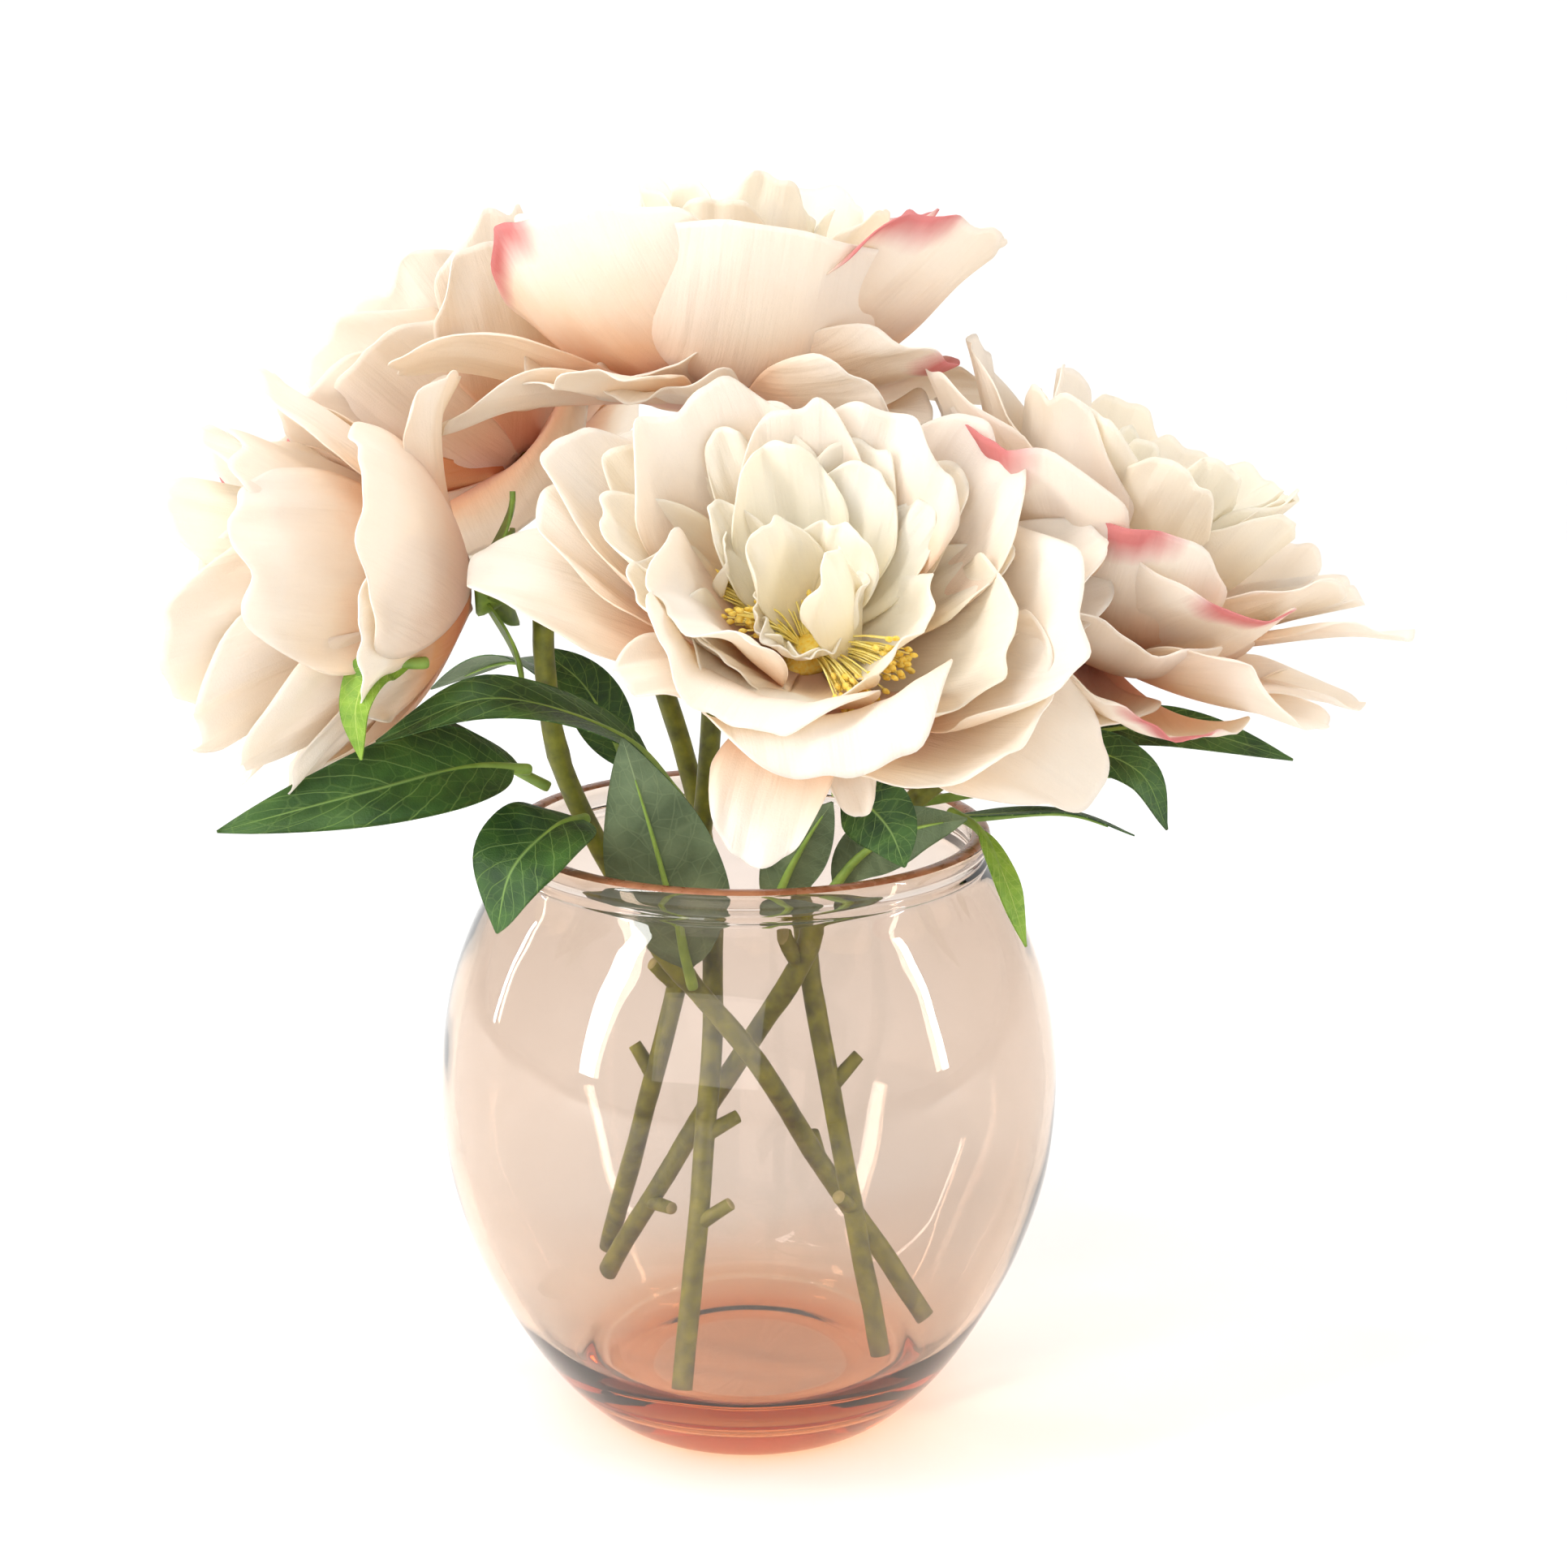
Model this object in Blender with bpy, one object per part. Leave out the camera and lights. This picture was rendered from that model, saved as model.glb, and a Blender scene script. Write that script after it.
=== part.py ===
"""Five faux peonies with leaves in a pink glass jar vase, all sizes in metres, +Z up.

The origin is the centre of the vase's foot, on the surface that it stands on.
"""
import math

import bmesh
import bpy
from mathutils import Matrix, Vector

# ---- driving dimensions -------------------------------------------------------------
VASE_RADIUS = 0.0700          # widest radius of the belly
VASE_HEIGHT = 0.1378          # foot to the top of the lip
WALL = 0.0030                 # glass thickness of the wall
FLOOR = 0.0120                # glass thickness under the inner floor
STEM_RADIUS = 0.0025          # plastic-coated wire stem
STUB_RADIUS = 0.0016          # trimmed side twig
PETAL_THICKNESS = 0.0007      # stiffened cloth
LEAF_THICKNESS = 0.0008
GAP = 0.0003                  # clearance between pieces that touch
HUB_RADIUS = 0.0060           # central disc of the outermost die-cut petal layer
HUB_STEP = 0.0008             # each layer inside it has a disc smaller by this
CALYX_LENGTH = 0.0080         # green cup between the stem and the petals
CALYX_RADIUS = 0.0062
STAMEN_LENGTH = 0.0120

ACROSS = VASE_RADIUS / 0.0700     # the arrangement follows the size of its vase
UPWARD = VASE_HEIGHT / 0.1378
RAISED = VASE_HEIGHT - 0.1378     # above the lip it only moves up or down
LAYER_STEP = PETAL_THICKNESS + 3.0 * GAP      # pitch of the stacked petal layers
CALYX_LIFT = PETAL_THICKNESS / 2 + GAP        # calyx top, below the first layer
SQUEEZE = 0.0100                              # reach of the neighbours' pressure

# Each petal layer: name, petals, columns per petal, rows, length, tilt of the petal
# at its root and at its tip above the flower's own plane, depth of the notches.
PETAL_LAYERS = (
    ("guard_petals", 5, 5, 3, 1.00, 14.0, 2.0, 0.46),
    ("outer_petals", 5, 5, 3, 0.95, 34.0, 52.0, 0.44),
    ("middle_petals", 5, 4, 3, 0.82, 48.0, 68.0, 0.42),
    ("inner_petals", 4, 4, 3, 0.70, 58.0, 76.0, 0.40),
    ("heart_petals", 4, 3, 2, 0.52, 70.0, 80.0, 0.45),
)

# Each bloom: where its first petal layer sits, where it faces, petal length,
# how far it is closed, turn of the petal layers.
BLOOMS = {
    "top": ((-0.0055, 0.0100, 0.2298), (0.08, 0.30, 0.95), 0.0650, -0.08, 30.0),
    "front": ((0.0130, -0.0490, 0.1840), (-0.02, -0.64, 0.77), 0.0590, 0.06, 54.0),
    "left": ((-0.0579, -0.0220, 0.1959), (-0.96, -0.12, -0.02), 0.0700, 0.50, 10.0),
    "right": ((0.0718, -0.0100, 0.1796), (0.44, 0.08, 0.89), 0.0660, 0.10, 40.0),
    "back": ((-0.0522, 0.0500, 0.2120), (-0.62, 0.45, 0.64), 0.0530, 0.05, 0.0),
}

# Each stem: the points of its centre line, cut end first. The last one, at the calyx,
# is added from the bloom's place. Then its trimmed twigs: distance, azimuth, length.
STEMS = {
    "top": (((-0.0355, 0.0240, 0.0240), (-0.0255, 0.0100, 0.0635), (-0.0165, 0.0040, 0.0990),
             (-0.0100, 0.0030, 0.1400), (-0.0065, 0.0060, 0.1900)),
            ((0.052, 150.0, 0.006), (0.078, 200.0, 0.006))),
    "front": (((0.0300, -0.0160, 0.0175), (0.0216, -0.0100, 0.0610), (0.0125, -0.0020, 0.1120),
               (0.0122, -0.0110, 0.1450)),
              ((0.030, 250.0, 0.006), (0.060, 10.0, 0.007))),
    "left": (((0.0412, -0.0075, 0.0215), (0.0163, 0.0030, 0.0560), (0.0033, -0.0110, 0.0833),
              (-0.0112, -0.0120, 0.1028), (-0.0218, -0.0130, 0.1165), (-0.0390, -0.0150, 0.1515),
              (-0.0430, -0.0180, 0.1760)),
             ((0.040, 80.0, 0.006),)),
    "right": (((-0.0350, 0.0153, 0.0220), (-0.0225, 0.0090, 0.0460), (-0.0099, 0.0045, 0.0685),
               (0.0114, -0.0120, 0.1085), (0.0270, -0.0160, 0.1380), (0.0520, -0.0140, 0.1600)),
              ((0.022, 300.0, 0.008), (0.098, 200.0, 0.006))),
    "back": (((-0.0146, -0.0360, 0.0175), (-0.0104, -0.0180, 0.0605), (-0.0082, 0.0060, 0.0980),
              (-0.0130, 0.0230, 0.1400), (-0.0290, 0.0340, 0.1850)),
             ((0.034, 330.0, 0.007), (0.056, 10.0, 0.006))),
}

# Each leaf: points of its midrib from the stalk to the tip, width of the blade,
# the way its upper side faces, and the share of its length that is stalk.
LEAVES = {
    "leaf_left_long": (((-0.0460, -0.0260, 0.1570), (-0.0580, -0.0370, 0.1600),
                        (-0.0770, -0.0480, 0.1575), (-0.1070, -0.0550, 0.1510)),
                       0.022, (0.0, -0.7, 0.7), 0.10),
    "leaf_left_thin": (((-0.0440, -0.0020, 0.1470), (-0.0600, 0.0000, 0.1545),
                        (-0.0800, 0.0000, 0.1610), (-0.1170, 0.0000, 0.1640)),
                       0.013, (0.0, -0.2, 1.0), 0.14),
    "leaf_rim_left": (((-0.0340, -0.0290, 0.1470), (-0.0400, -0.0370, 0.1470),
                       (-0.0485, -0.0435, 0.1395), (-0.0520, -0.0440, 0.1260)),
                      0.024, (-0.4, -0.7, 0.6), 0.08),
    "leaf_mouth_front": (((-0.0115, -0.0260, 0.1080), (-0.0150, -0.0310, 0.1240),
                          (-0.0195, -0.0350, 0.1440), (-0.0252, -0.0440, 0.1680)),
                         0.026, (0.1, 1.0, 0.1), 0.10),
    "leaf_left_arch": (((-0.0140, -0.0250, 0.1500), (-0.0260, -0.0340, 0.1660),
                        (-0.0510, -0.0500, 0.1775), (-0.0745, -0.0520, 0.1690)),
                       0.015, (-0.2, -0.5, 0.8), 0.22),
    "leaf_left_dark": (((-0.0250, 0.0020, 0.1440), (-0.0300, 0.0050, 0.1560),
                        (-0.0370, 0.0080, 0.1680), (-0.0480, 0.0110, 0.1760)),
                       0.013, (-0.3, -0.6, 0.7), 0.16),
    "leaf_left_hanging": (((-0.0640, -0.0500, 0.1850), (-0.0730, -0.0560, 0.1850),
                           (-0.0770, -0.0590, 0.1780), (-0.0765, -0.0590, 0.1670)),
                          0.010, (-0.5, -0.8, 0.2), 0.10),
    "leaf_right_arc": (((0.0560, -0.0240, 0.1520), (0.0700, -0.0280, 0.1610),
                        (0.0830, -0.0300, 0.1570), (0.0892, -0.0300, 0.1446)),
                       0.011, (0.3, -0.7, 0.6), 0.12),
    "leaf_right_dark": (((0.0640, 0.0060, 0.1530), (0.0820, 0.0040, 0.1585),
                         (0.1000, 0.0010, 0.1585), (0.1210, 0.0000, 0.1525)),
                        0.012, (0.1, -0.6, 0.8), 0.14),
    "leaf_right_thin_low": (((0.0350, -0.0120, 0.1420), (0.0505, -0.0110, 0.1425),
                             (0.0700, -0.0100, 0.1430), (0.0850, -0.0100, 0.1378)),
                            0.009, (0.1, -0.2, 1.0), 0.20),
    "leaf_right_thin_high": (((0.0340, 0.0020, 0.1420), (0.0560, 0.0020, 0.1455),
                              (0.0760, 0.0000, 0.1490), (0.0920, 0.0000, 0.1480)),
                             0.010, (0.0, -0.3, 1.0), 0.20),
    "leaf_rim_right": (((0.0440, -0.0200, 0.1460), (0.0500, -0.0300, 0.1440),
                        (0.0550, -0.0380, 0.1340), (0.0590, -0.0390, 0.1215)),
                       0.0075, (0.6, -0.7, 0.3), 0.30),
    "leaf_front_center": (((0.0180, -0.0560, 0.1600), (0.0235, -0.0590, 0.1585),
                           (0.0290, -0.0605, 0.1530), (0.0323, -0.0600, 0.1450)),
                          0.015, (0.1, -0.9, 0.4), 0.10),
    "leaf_mouth_center": (((0.0040, -0.0240, 0.1200), (0.0080, -0.0290, 0.1330),
                           (0.0130, -0.0340, 0.1440), (0.0180, -0.0390, 0.1530)),
                          0.013, (-0.2, 1.0, -0.4), 0.12),
    "leaf_mouth_right": (((0.0160, -0.0260, 0.1270), (0.0240, -0.0310, 0.1390),
                          (0.0340, -0.0360, 0.1460), (0.0460, -0.0410, 0.1500)),
                         0.013, (-0.3, 0.8, -0.5), 0.12),
    "leaf_back_left": (((-0.0240, 0.0360, 0.1420), (-0.0400, 0.0480, 0.1560),
                        (-0.0580, 0.0620, 0.1620), (-0.0800, 0.0760, 0.1520)),
                       0.024, (-0.2, 0.4, 0.9), 0.12),
    "leaf_back_center": (((0.0040, 0.0380, 0.1420), (0.0070, 0.0520, 0.1560),
                          (0.0110, 0.0720, 0.1600), (0.0150, 0.0930, 0.1450)),
                         0.025, (0.0, 0.4, 0.9), 0.12),
    "leaf_back_right": (((0.0280, 0.0320, 0.1420), (0.0440, 0.0460, 0.1540),
                         (0.0640, 0.0600, 0.1570), (0.0860, 0.0720, 0.1440)),
                        0.024, (0.3, 0.4, 0.9), 0.12),
    "leaf_back_high": (((0.0240, 0.0260, 0.1480), (0.0300, 0.0380, 0.1700),
                        (0.0380, 0.0500, 0.1900), (0.0500, 0.0640, 0.2060)),
                       0.022, (0.3, 0.8, 0.1), 0.14),
}

PINK_GLASS = (0.86, 0.68, 0.62)
PETAL_COLOURS = {
    "guard_petals": (0.96, 0.87, 0.78),
    "outer_petals": (0.95, 0.83, 0.70),
    "middle_petals": (0.94, 0.79, 0.62),
    "inner_petals": (0.95, 0.84, 0.68),
    "heart_petals": (0.97, 0.91, 0.76),
}
STEM_GREEN = (0.26, 0.30, 0.09)
LEAF_GREEN = (0.10, 0.26, 0.08)
CALYX_GREEN = (0.22, 0.34, 0.10)
STAMEN_YELLOW = (0.86, 0.66, 0.16)


# ---- helpers ------------------------------------------------------------------------
def clear_scene():
    for item in list(bpy.data.objects):
        bpy.data.objects.remove(item, do_unlink=True)


def make_material(name, colour, roughness, transmission=0.0):
    material = bpy.data.materials.new(name)
    material.use_nodes = True
    shader = material.node_tree.nodes["Principled BSDF"]
    shader.inputs["Base Color"].default_value = (*colour, 1.0)
    shader.inputs["Roughness"].default_value = roughness
    shader.inputs["Metallic"].default_value = 0.0
    shader.inputs["Transmission Weight"].default_value = transmission
    return material


def add_mesh(name, bm, material, smooth_angle=50.0):
    """Turns a bmesh into an object of the scene."""
    mesh = bpy.data.meshes.new(name)
    bm.to_mesh(mesh)
    bm.free()
    mesh.shade_smooth()
    mesh.set_sharp_from_angle(angle=math.radians(smooth_angle))
    item = bpy.data.objects.new(name, mesh)
    item.data.materials.append(material)
    bpy.context.scene.collection.objects.link(item)
    return item


def thicken(item, thickness):
    solid = item.modifiers.new("cloth", "SOLIDIFY")
    solid.thickness = thickness
    solid.offset = 0.0
    return item


def laid_out(point):
    """A place in the arrangement, moved with the size of the vase."""
    x, y, z = point
    height = z * UPWARD if z * UPWARD < VASE_HEIGHT else z + RAISED
    return Vector((x * ACROSS, y * ACROSS, height))


def smooth_line(points, spans):
    """Even steps along a smooth curve through the points."""
    knots = list(points)
    knots = [2 * knots[0] - knots[1]] + knots + [2 * knots[-1] - knots[-2]]
    line = []
    for index in range(1, len(knots) - 2):
        before, start, end, after = knots[index - 1:index + 3]
        for step in range(spans):
            t = step / spans
            line.append(0.5 * (2 * start + (end - before) * t
                               + (2 * before - 5 * start + 4 * end - after) * t * t
                               + (3 * start - before - 3 * end + after) * t ** 3))
    line.append(knots[-2])
    return line


def facing(axis):
    """Rotation that turns +Z to the axis and keeps the piece's +Y side up."""
    return Vector(axis).normalized().to_track_quat("Z", "Y")


# ---- vase ---------------------------------------------------------------------------
def vase_profile():
    """Outline of the glass from the foot's centre, up outside, over the lip, down inside."""
    ground = (
        (0.0000, 0.0000), (0.0240, 0.0000), (0.0252, 0.0010), (0.0276, 0.0010),
        (0.0288, 0.0000), (0.0330, 0.0000), (0.0385, 0.0036), (0.0470, 0.0128),
        (0.0556, 0.0262), (0.0632, 0.0420), (0.0683, 0.0590), (0.0700, 0.0755),
        (0.0694, 0.0880), (0.0668, 0.1020), (0.0622, 0.1150), (0.0575, 0.1240),
        (0.0541, 0.1290), (0.0530, 0.1325), (0.0534, 0.1348),
        (0.0540, 0.1362), (0.0533, 0.1374),
    )
    lip_top = ((0.0517, 0.1378), (0.0502, 0.1373), (0.0497, 0.1360))
    ground, lip_top = ([(r * ACROSS, z * UPWARD) for r, z in part]
                       for part in (ground, lip_top))
    wall = []
    for index in range(7, len(ground) - 3):
        ahead = Vector(ground[index + 1]) - Vector(ground[index - 1])
        inward = Vector((-ahead.y, ahead.x)).normalized()
        wall.append(tuple(Vector(ground[index]) + inward * WALL))
    inside = [point for point in reversed(wall) if point[1] > FLOOR + 0.0060]
    heel = ((0.0415 * ACROSS, FLOOR + 0.0022), (0.0360 * ACROSS, FLOOR), (0.0, FLOOR))
    return [*ground, *lip_top, *inside, *heel]


def make_vase():
    bm = bmesh.new()
    rings = [bm.verts.new((r, 0.0, z)) for r, z in vase_profile()]
    edges = [bm.edges.new(pair) for pair in zip(rings, rings[1:])]
    bmesh.ops.spin(bm, geom=rings + edges, cent=(0, 0, 0), axis=(0, 0, 1),
                   angle=math.tau, steps=40, use_merge=True)
    bmesh.ops.remove_doubles(bm, verts=bm.verts, dist=0.00001)
    bmesh.ops.recalc_face_normals(bm, faces=bm.faces)
    return add_mesh("vase", bm, make_material("pink_glass", PINK_GLASS, 0.04, 1.0))


# ---- stems --------------------------------------------------------------------------
def tube(name, line, radius, material):
    curve = bpy.data.curves.new(name, "CURVE")
    curve.dimensions = "3D"
    curve.bevel_depth = radius
    curve.bevel_resolution = 1
    curve.use_fill_caps = True
    spline = curve.splines.new("POLY")
    spline.points.add(len(line) - 1)
    for point, place in zip(spline.points, line):
        point.co = (*place, 1.0)
    item = bpy.data.objects.new(name, curve)
    curve.materials.append(material)
    bpy.context.scene.collection.objects.link(item)
    return item


def add_twigs(stem, line, twigs, material):
    """Short ends of trimmed side twigs, joined to the stem."""
    for number, (distance, azimuth, length) in enumerate(twigs, 1):
        walked = 0.0
        for start, end in zip(line, line[1:]):
            walked += (end - start).length
            if walked >= distance:
                break
        along = (end - start).normalized()
        turn = math.radians(azimuth)
        out = Vector((math.cos(turn), math.sin(turn), 0.0))
        out = (out - along * out.dot(along)).normalized() + along * 0.7
        tip = end + out.normalized() * (STEM_RADIUS + length)
        twig = tube(f"{stem.name}_twig_{number}", [end, tip], STUB_RADIUS, material)
        twig.hide_render = True
        twig.display_type = "WIRE"
        join = stem.modifiers.new(f"twig_{number}", "BOOLEAN")
        join.operation = "UNION"
        join.object = as_mesh(twig)


def as_mesh(item):
    """Swaps a curve object for a mesh object of the same name and look."""
    mesh = bpy.data.meshes.new_from_object(item)
    name = item.name
    swap = bpy.data.objects.new(name, mesh)
    swap.hide_render = item.hide_render
    swap.display_type = item.display_type
    bpy.data.objects.remove(item, do_unlink=True)
    swap.name = name
    bpy.context.scene.collection.objects.link(swap)
    return swap


def stem_line(bloom):
    """The stem's centre line, ending square against its calyx."""
    hub, axis = laid_out(BLOOMS[bloom][0]), Vector(BLOOMS[bloom][1]).normalized()
    calyx_foot = hub - axis * (CALYX_LIFT + CALYX_LENGTH + GAP)
    approach = calyx_foot - axis * 0.006
    way = [laid_out(point) for point in STEMS[bloom][0]]
    return smooth_line([*way, approach], 3) + [calyx_foot]


def make_stem(bloom):
    name = f"{bloom}_peony_stem"
    material = make_material(name, STEM_GREEN, 0.5)
    line = stem_line(bloom)
    stem = as_mesh(tube(name, line, STEM_RADIUS, material))
    add_twigs(stem, line, STEMS[bloom][1], material)
    return stem


# ---- blooms -------------------------------------------------------------------------
def bloom_middle(bloom):
    hub, axis, length = BLOOMS[bloom][:3]
    return laid_out(hub) + Vector(axis).normalized() * length * 0.40


def press_apart(point, bloom):
    """Moves a point of one bloom back from where its neighbours press on it."""
    middle = bloom_middle(bloom)
    length = BLOOMS[bloom][2]
    for other in BLOOMS:
        if other == bloom:
            continue
        between = bloom_middle(other) - middle
        share = length / (length + BLOOMS[other][2])
        way = between.normalized()
        room = between.length * share - GAP - (point - middle).dot(way)
        if room < SQUEEZE:
            eased = SQUEEZE * math.exp((room - SQUEEZE) / SQUEEZE)
            point = point - way * (eased - room)
    return point


def petal_outline(share, notch, petal):
    """Length of the layer at a place across one petal, -1 to 1 from notch to notch."""
    dent = 0.035 * math.exp(-(share * 4.0) ** 2) * (1.0 + math.sin(petal * 2.4))
    return 1.0 - notch * abs(share) ** 2.6 - dent


def layer_point(layer, bloom, hub, column, reach):
    """A point of a petal layer in the bloom's own frame, +Z its axis."""
    name, petals, columns, rows, length, root, tip, notch = layer
    size, closed = BLOOMS[bloom][2:4]
    petal, across = divmod(column, columns)
    share = 2.0 * across / columns - 1.0
    angle = math.tau * column / (petals * columns)
    full = size * length * petal_outline(share, notch, petal)
    middle = 1.0 - share * share
    swing = 4.0 * middle * math.sin(petal * 2.1 + root)
    r, z, steps = hub, 0.0, 12
    for step in range(steps):
        s = reach * (step + 0.5) / steps
        tilt = root + (tip - root) * s + swing * s + 9.0 * share * share * s
        tilt = math.radians(tilt + (88.0 - tilt) * closed)
        r += full * reach / steps * math.cos(tilt)
        z += full * reach / steps * math.sin(tilt)
    return Vector((r * math.cos(angle), r * math.sin(angle), z))


def make_layer(bloom, number, layer, holder):
    """One die-cut layer of cloth petals around a small flat hub."""
    name, petals, columns, rows = layer[:4]
    frame = holder.matrix_world.copy()
    turn = Matrix.Rotation(math.radians(BLOOMS[bloom][4] + 37.0 * number), 4, "Z")
    lift = Matrix.Translation((0, 0, number * LAYER_STEP))
    place = frame @ lift @ turn
    hub = HUB_RADIUS - number * HUB_STEP
    back = place.inverted()
    bm = bmesh.new()
    centre = bm.verts.new((0, 0, 0))
    inner = None
    for row in range(rows + 1):
        ring = []
        for column in range(petals * columns):
            flat = layer_point(layer, bloom, hub, column, row / rows)
            ring.append(bm.verts.new(back @ press_apart(place @ flat, bloom)))
        for index in range(len(ring)):
            after = (index + 1) % len(ring)
            if inner is None:
                bm.faces.new((centre, ring[index], ring[after]))
            else:
                bm.faces.new((inner[index], ring[index], ring[after], inner[after]))
        inner = ring
    full_name = f"{bloom}_peony_{name}"
    cloth = add_mesh(full_name, bm, make_material(full_name, PETAL_COLOURS[name], 0.8))
    cloth.parent = holder
    cloth.matrix_local = lift @ turn
    return thicken(cloth, PETAL_THICKNESS)


def make_calyx(bloom, holder):
    """Green cup under the petals with five narrow sepals spread beneath them."""
    name = f"{bloom}_peony_calyx"
    bm = bmesh.new()
    bmesh.ops.create_cone(bm, cap_ends=True, segments=10, radius1=STEM_RADIUS * 1.25,
                          radius2=CALYX_RADIUS, depth=CALYX_LENGTH)
    bmesh.ops.translate(bm, verts=bm.verts, vec=(0, 0, -CALYX_LENGTH / 2 - CALYX_LIFT))
    sides = [face for face in bm.faces if abs(face.normal.z) < 0.9]
    sides.sort(key=lambda face: math.atan2(face.calc_center_median().y,
                                           face.calc_center_median().x))
    for face in sides[::2]:
        out = face.calc_center_median()
        out.z = 0.0
        out.normalize()
        for reach, width, drop in ((0.007, 0.95, -0.0040), (0.008, 0.35, -0.0035)):
            grown = bmesh.ops.extrude_discrete_faces(bm, faces=[face])["faces"][0]
            middle = grown.calc_center_median()
            for vert in grown.verts:
                vert.co = middle + (vert.co - middle) * width
                vert.co.z = middle.z + (vert.co.z - middle.z) * 0.45
                vert.co += out * reach + Vector((0, 0, drop))
            face = grown
    bmesh.ops.recalc_face_normals(bm, faces=bm.faces)
    calyx = add_mesh(name, bm, make_material(name, CALYX_GREEN, 0.6))
    calyx.parent = holder
    return calyx


def make_stamens(bloom, holder):
    """Tuft of stamens on the last petal layer, spread as far as the petals leave room."""
    name = f"{bloom}_peony_stamens"
    bm = bmesh.new()
    base = len(PETAL_LAYERS) * LAYER_STEP - PETAL_THICKNESS / 2
    bmesh.ops.create_uvsphere(bm, u_segments=8, v_segments=6, radius=HUB_RADIUS - len(PETAL_LAYERS) * HUB_STEP)
    low = [vert for vert in bm.verts if vert.co.z < -0.0001]
    bmesh.ops.delete(bm, geom=low, context="VERTS")
    rim = [edge for edge in bm.edges if edge.is_boundary]
    bmesh.ops.contextual_create(bm, geom=rim)
    domes = [face for face in bm.faces if len(face.verts) < 8]
    domes.sort(key=lambda face: tuple(face.calc_center_median()))
    spread = 0.26 * (1.0 - 1.6 * max(BLOOMS[bloom][3], 0.0))
    for face in domes:
        out = face.calc_center_median().normalized()
        out = (out * spread + Vector((0, 0, 1.0))).normalized()
        tip = bmesh.ops.extrude_discrete_faces(bm, faces=[face])["faces"][0]
        middle = tip.calc_center_median()
        for vert in tip.verts:
            vert.co = middle + (vert.co - middle) * 0.6 + out * STAMEN_LENGTH
    bmesh.ops.translate(bm, verts=bm.verts, vec=(0, 0, base + GAP))
    bmesh.ops.recalc_face_normals(bm, faces=bm.faces)
    stamens = add_mesh(name, bm, make_material(name, STAMEN_YELLOW, 0.7))
    stamens.parent = holder
    return stamens


def make_bloom(bloom):
    hub, axis = BLOOMS[bloom][:2]
    holder = bpy.data.objects.new(f"{bloom}_peony", None)
    holder.location = laid_out(hub)
    holder.rotation_mode = "QUATERNION"
    holder.rotation_quaternion = facing(axis)
    bpy.context.scene.collection.objects.link(holder)
    bpy.context.view_layer.update()
    make_calyx(bloom, holder)
    for number, layer in enumerate(PETAL_LAYERS):
        make_layer(bloom, number, layer, holder)
    make_stamens(bloom, holder)


# ---- leaves -------------------------------------------------------------------------
def blade_half_width(share, stalk, width):
    """Half the width of a leaf at a share of its length, stalk first."""
    if share <= stalk:
        return 0.0009
    along = (share - stalk) / (1.0 - stalk)
    shape = math.sin(math.pi * along ** 0.80) ** 0.85 if along < 1.0 else 0.0
    return max(0.5 * width * shape, 0.0005)


def make_leaf(name):
    points, width, upper, stalk = LEAVES[name]
    line = smooth_line([laid_out(point) for point in points], 3)
    upper = Vector(upper).normalized()
    bm = bmesh.new()
    previous = None
    for index, place in enumerate(line):
        ahead = line[min(index + 1, len(line) - 1)] - line[max(index - 1, 0)]
        side = ahead.cross(upper).normalized()
        normal = side.cross(ahead).normalized()
        half = blade_half_width(index / (len(line) - 1), stalk, width)
        fold = normal * half * 0.30
        row = [bm.verts.new(place - side * half + fold), bm.verts.new(place),
               bm.verts.new(place + side * half + fold)]
        if previous:
            for column in range(2):
                bm.faces.new((previous[column], previous[column + 1],
                              row[column + 1], row[column]))
        previous = row
    leaf = add_mesh(name, bm, make_material(name, LEAF_GREEN, 0.6))
    return thicken(leaf, LEAF_THICKNESS)


def build():
    clear_scene()
    make_vase()
    for bloom in BLOOMS:
        make_bloom(bloom)
        make_stem(bloom)
    for name in LEAVES:
        make_leaf(name)


build()
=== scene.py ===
"""Five faux peonies with leaves in a blush glass jar vase: the visual model, in metres."""
import math

import bpy
from mathutils import Matrix, Vector, noise


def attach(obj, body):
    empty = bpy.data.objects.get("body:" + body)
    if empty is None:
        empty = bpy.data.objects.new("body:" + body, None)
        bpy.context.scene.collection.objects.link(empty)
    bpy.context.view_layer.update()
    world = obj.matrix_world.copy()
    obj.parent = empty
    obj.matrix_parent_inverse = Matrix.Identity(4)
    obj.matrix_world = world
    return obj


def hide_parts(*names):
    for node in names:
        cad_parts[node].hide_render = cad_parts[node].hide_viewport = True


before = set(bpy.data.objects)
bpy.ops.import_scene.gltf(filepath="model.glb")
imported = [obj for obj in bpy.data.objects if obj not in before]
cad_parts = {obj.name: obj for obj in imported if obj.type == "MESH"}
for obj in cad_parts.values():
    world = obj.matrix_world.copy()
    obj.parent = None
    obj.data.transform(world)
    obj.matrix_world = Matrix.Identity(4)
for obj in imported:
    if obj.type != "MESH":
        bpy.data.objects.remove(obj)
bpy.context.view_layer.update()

MM = 0.001

# ---- the arrangement ----------------------------------------------------------------
# Places and lengths in these tables are in mm, from the middle of the vase's foot.
# Each bloom: first petal layer's place, the way it faces, petal length.
BLOOMS = {
    "top": ((-5.5, 10, 229.8), (0.08, 0.3, 0.95), 65),
    "front": ((13, -49, 184), (-0.02, -0.64, 0.77), 59),
    "left": ((-57.9, -22, 195.9), (-0.96, -0.12, -0.02), 70),
    "right": ((71.8, -10, 179.6), (0.44, 0.08, 0.89), 66),
    "back": ((-52.2, 50, 212), (-0.62, 0.45, 0.64), 53),
}
CALYX_DROP = 9.3 * MM        # from the first petal layer down to the end of the stem
CLOTH = 0.35 * MM            # thickness of a petal

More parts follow.
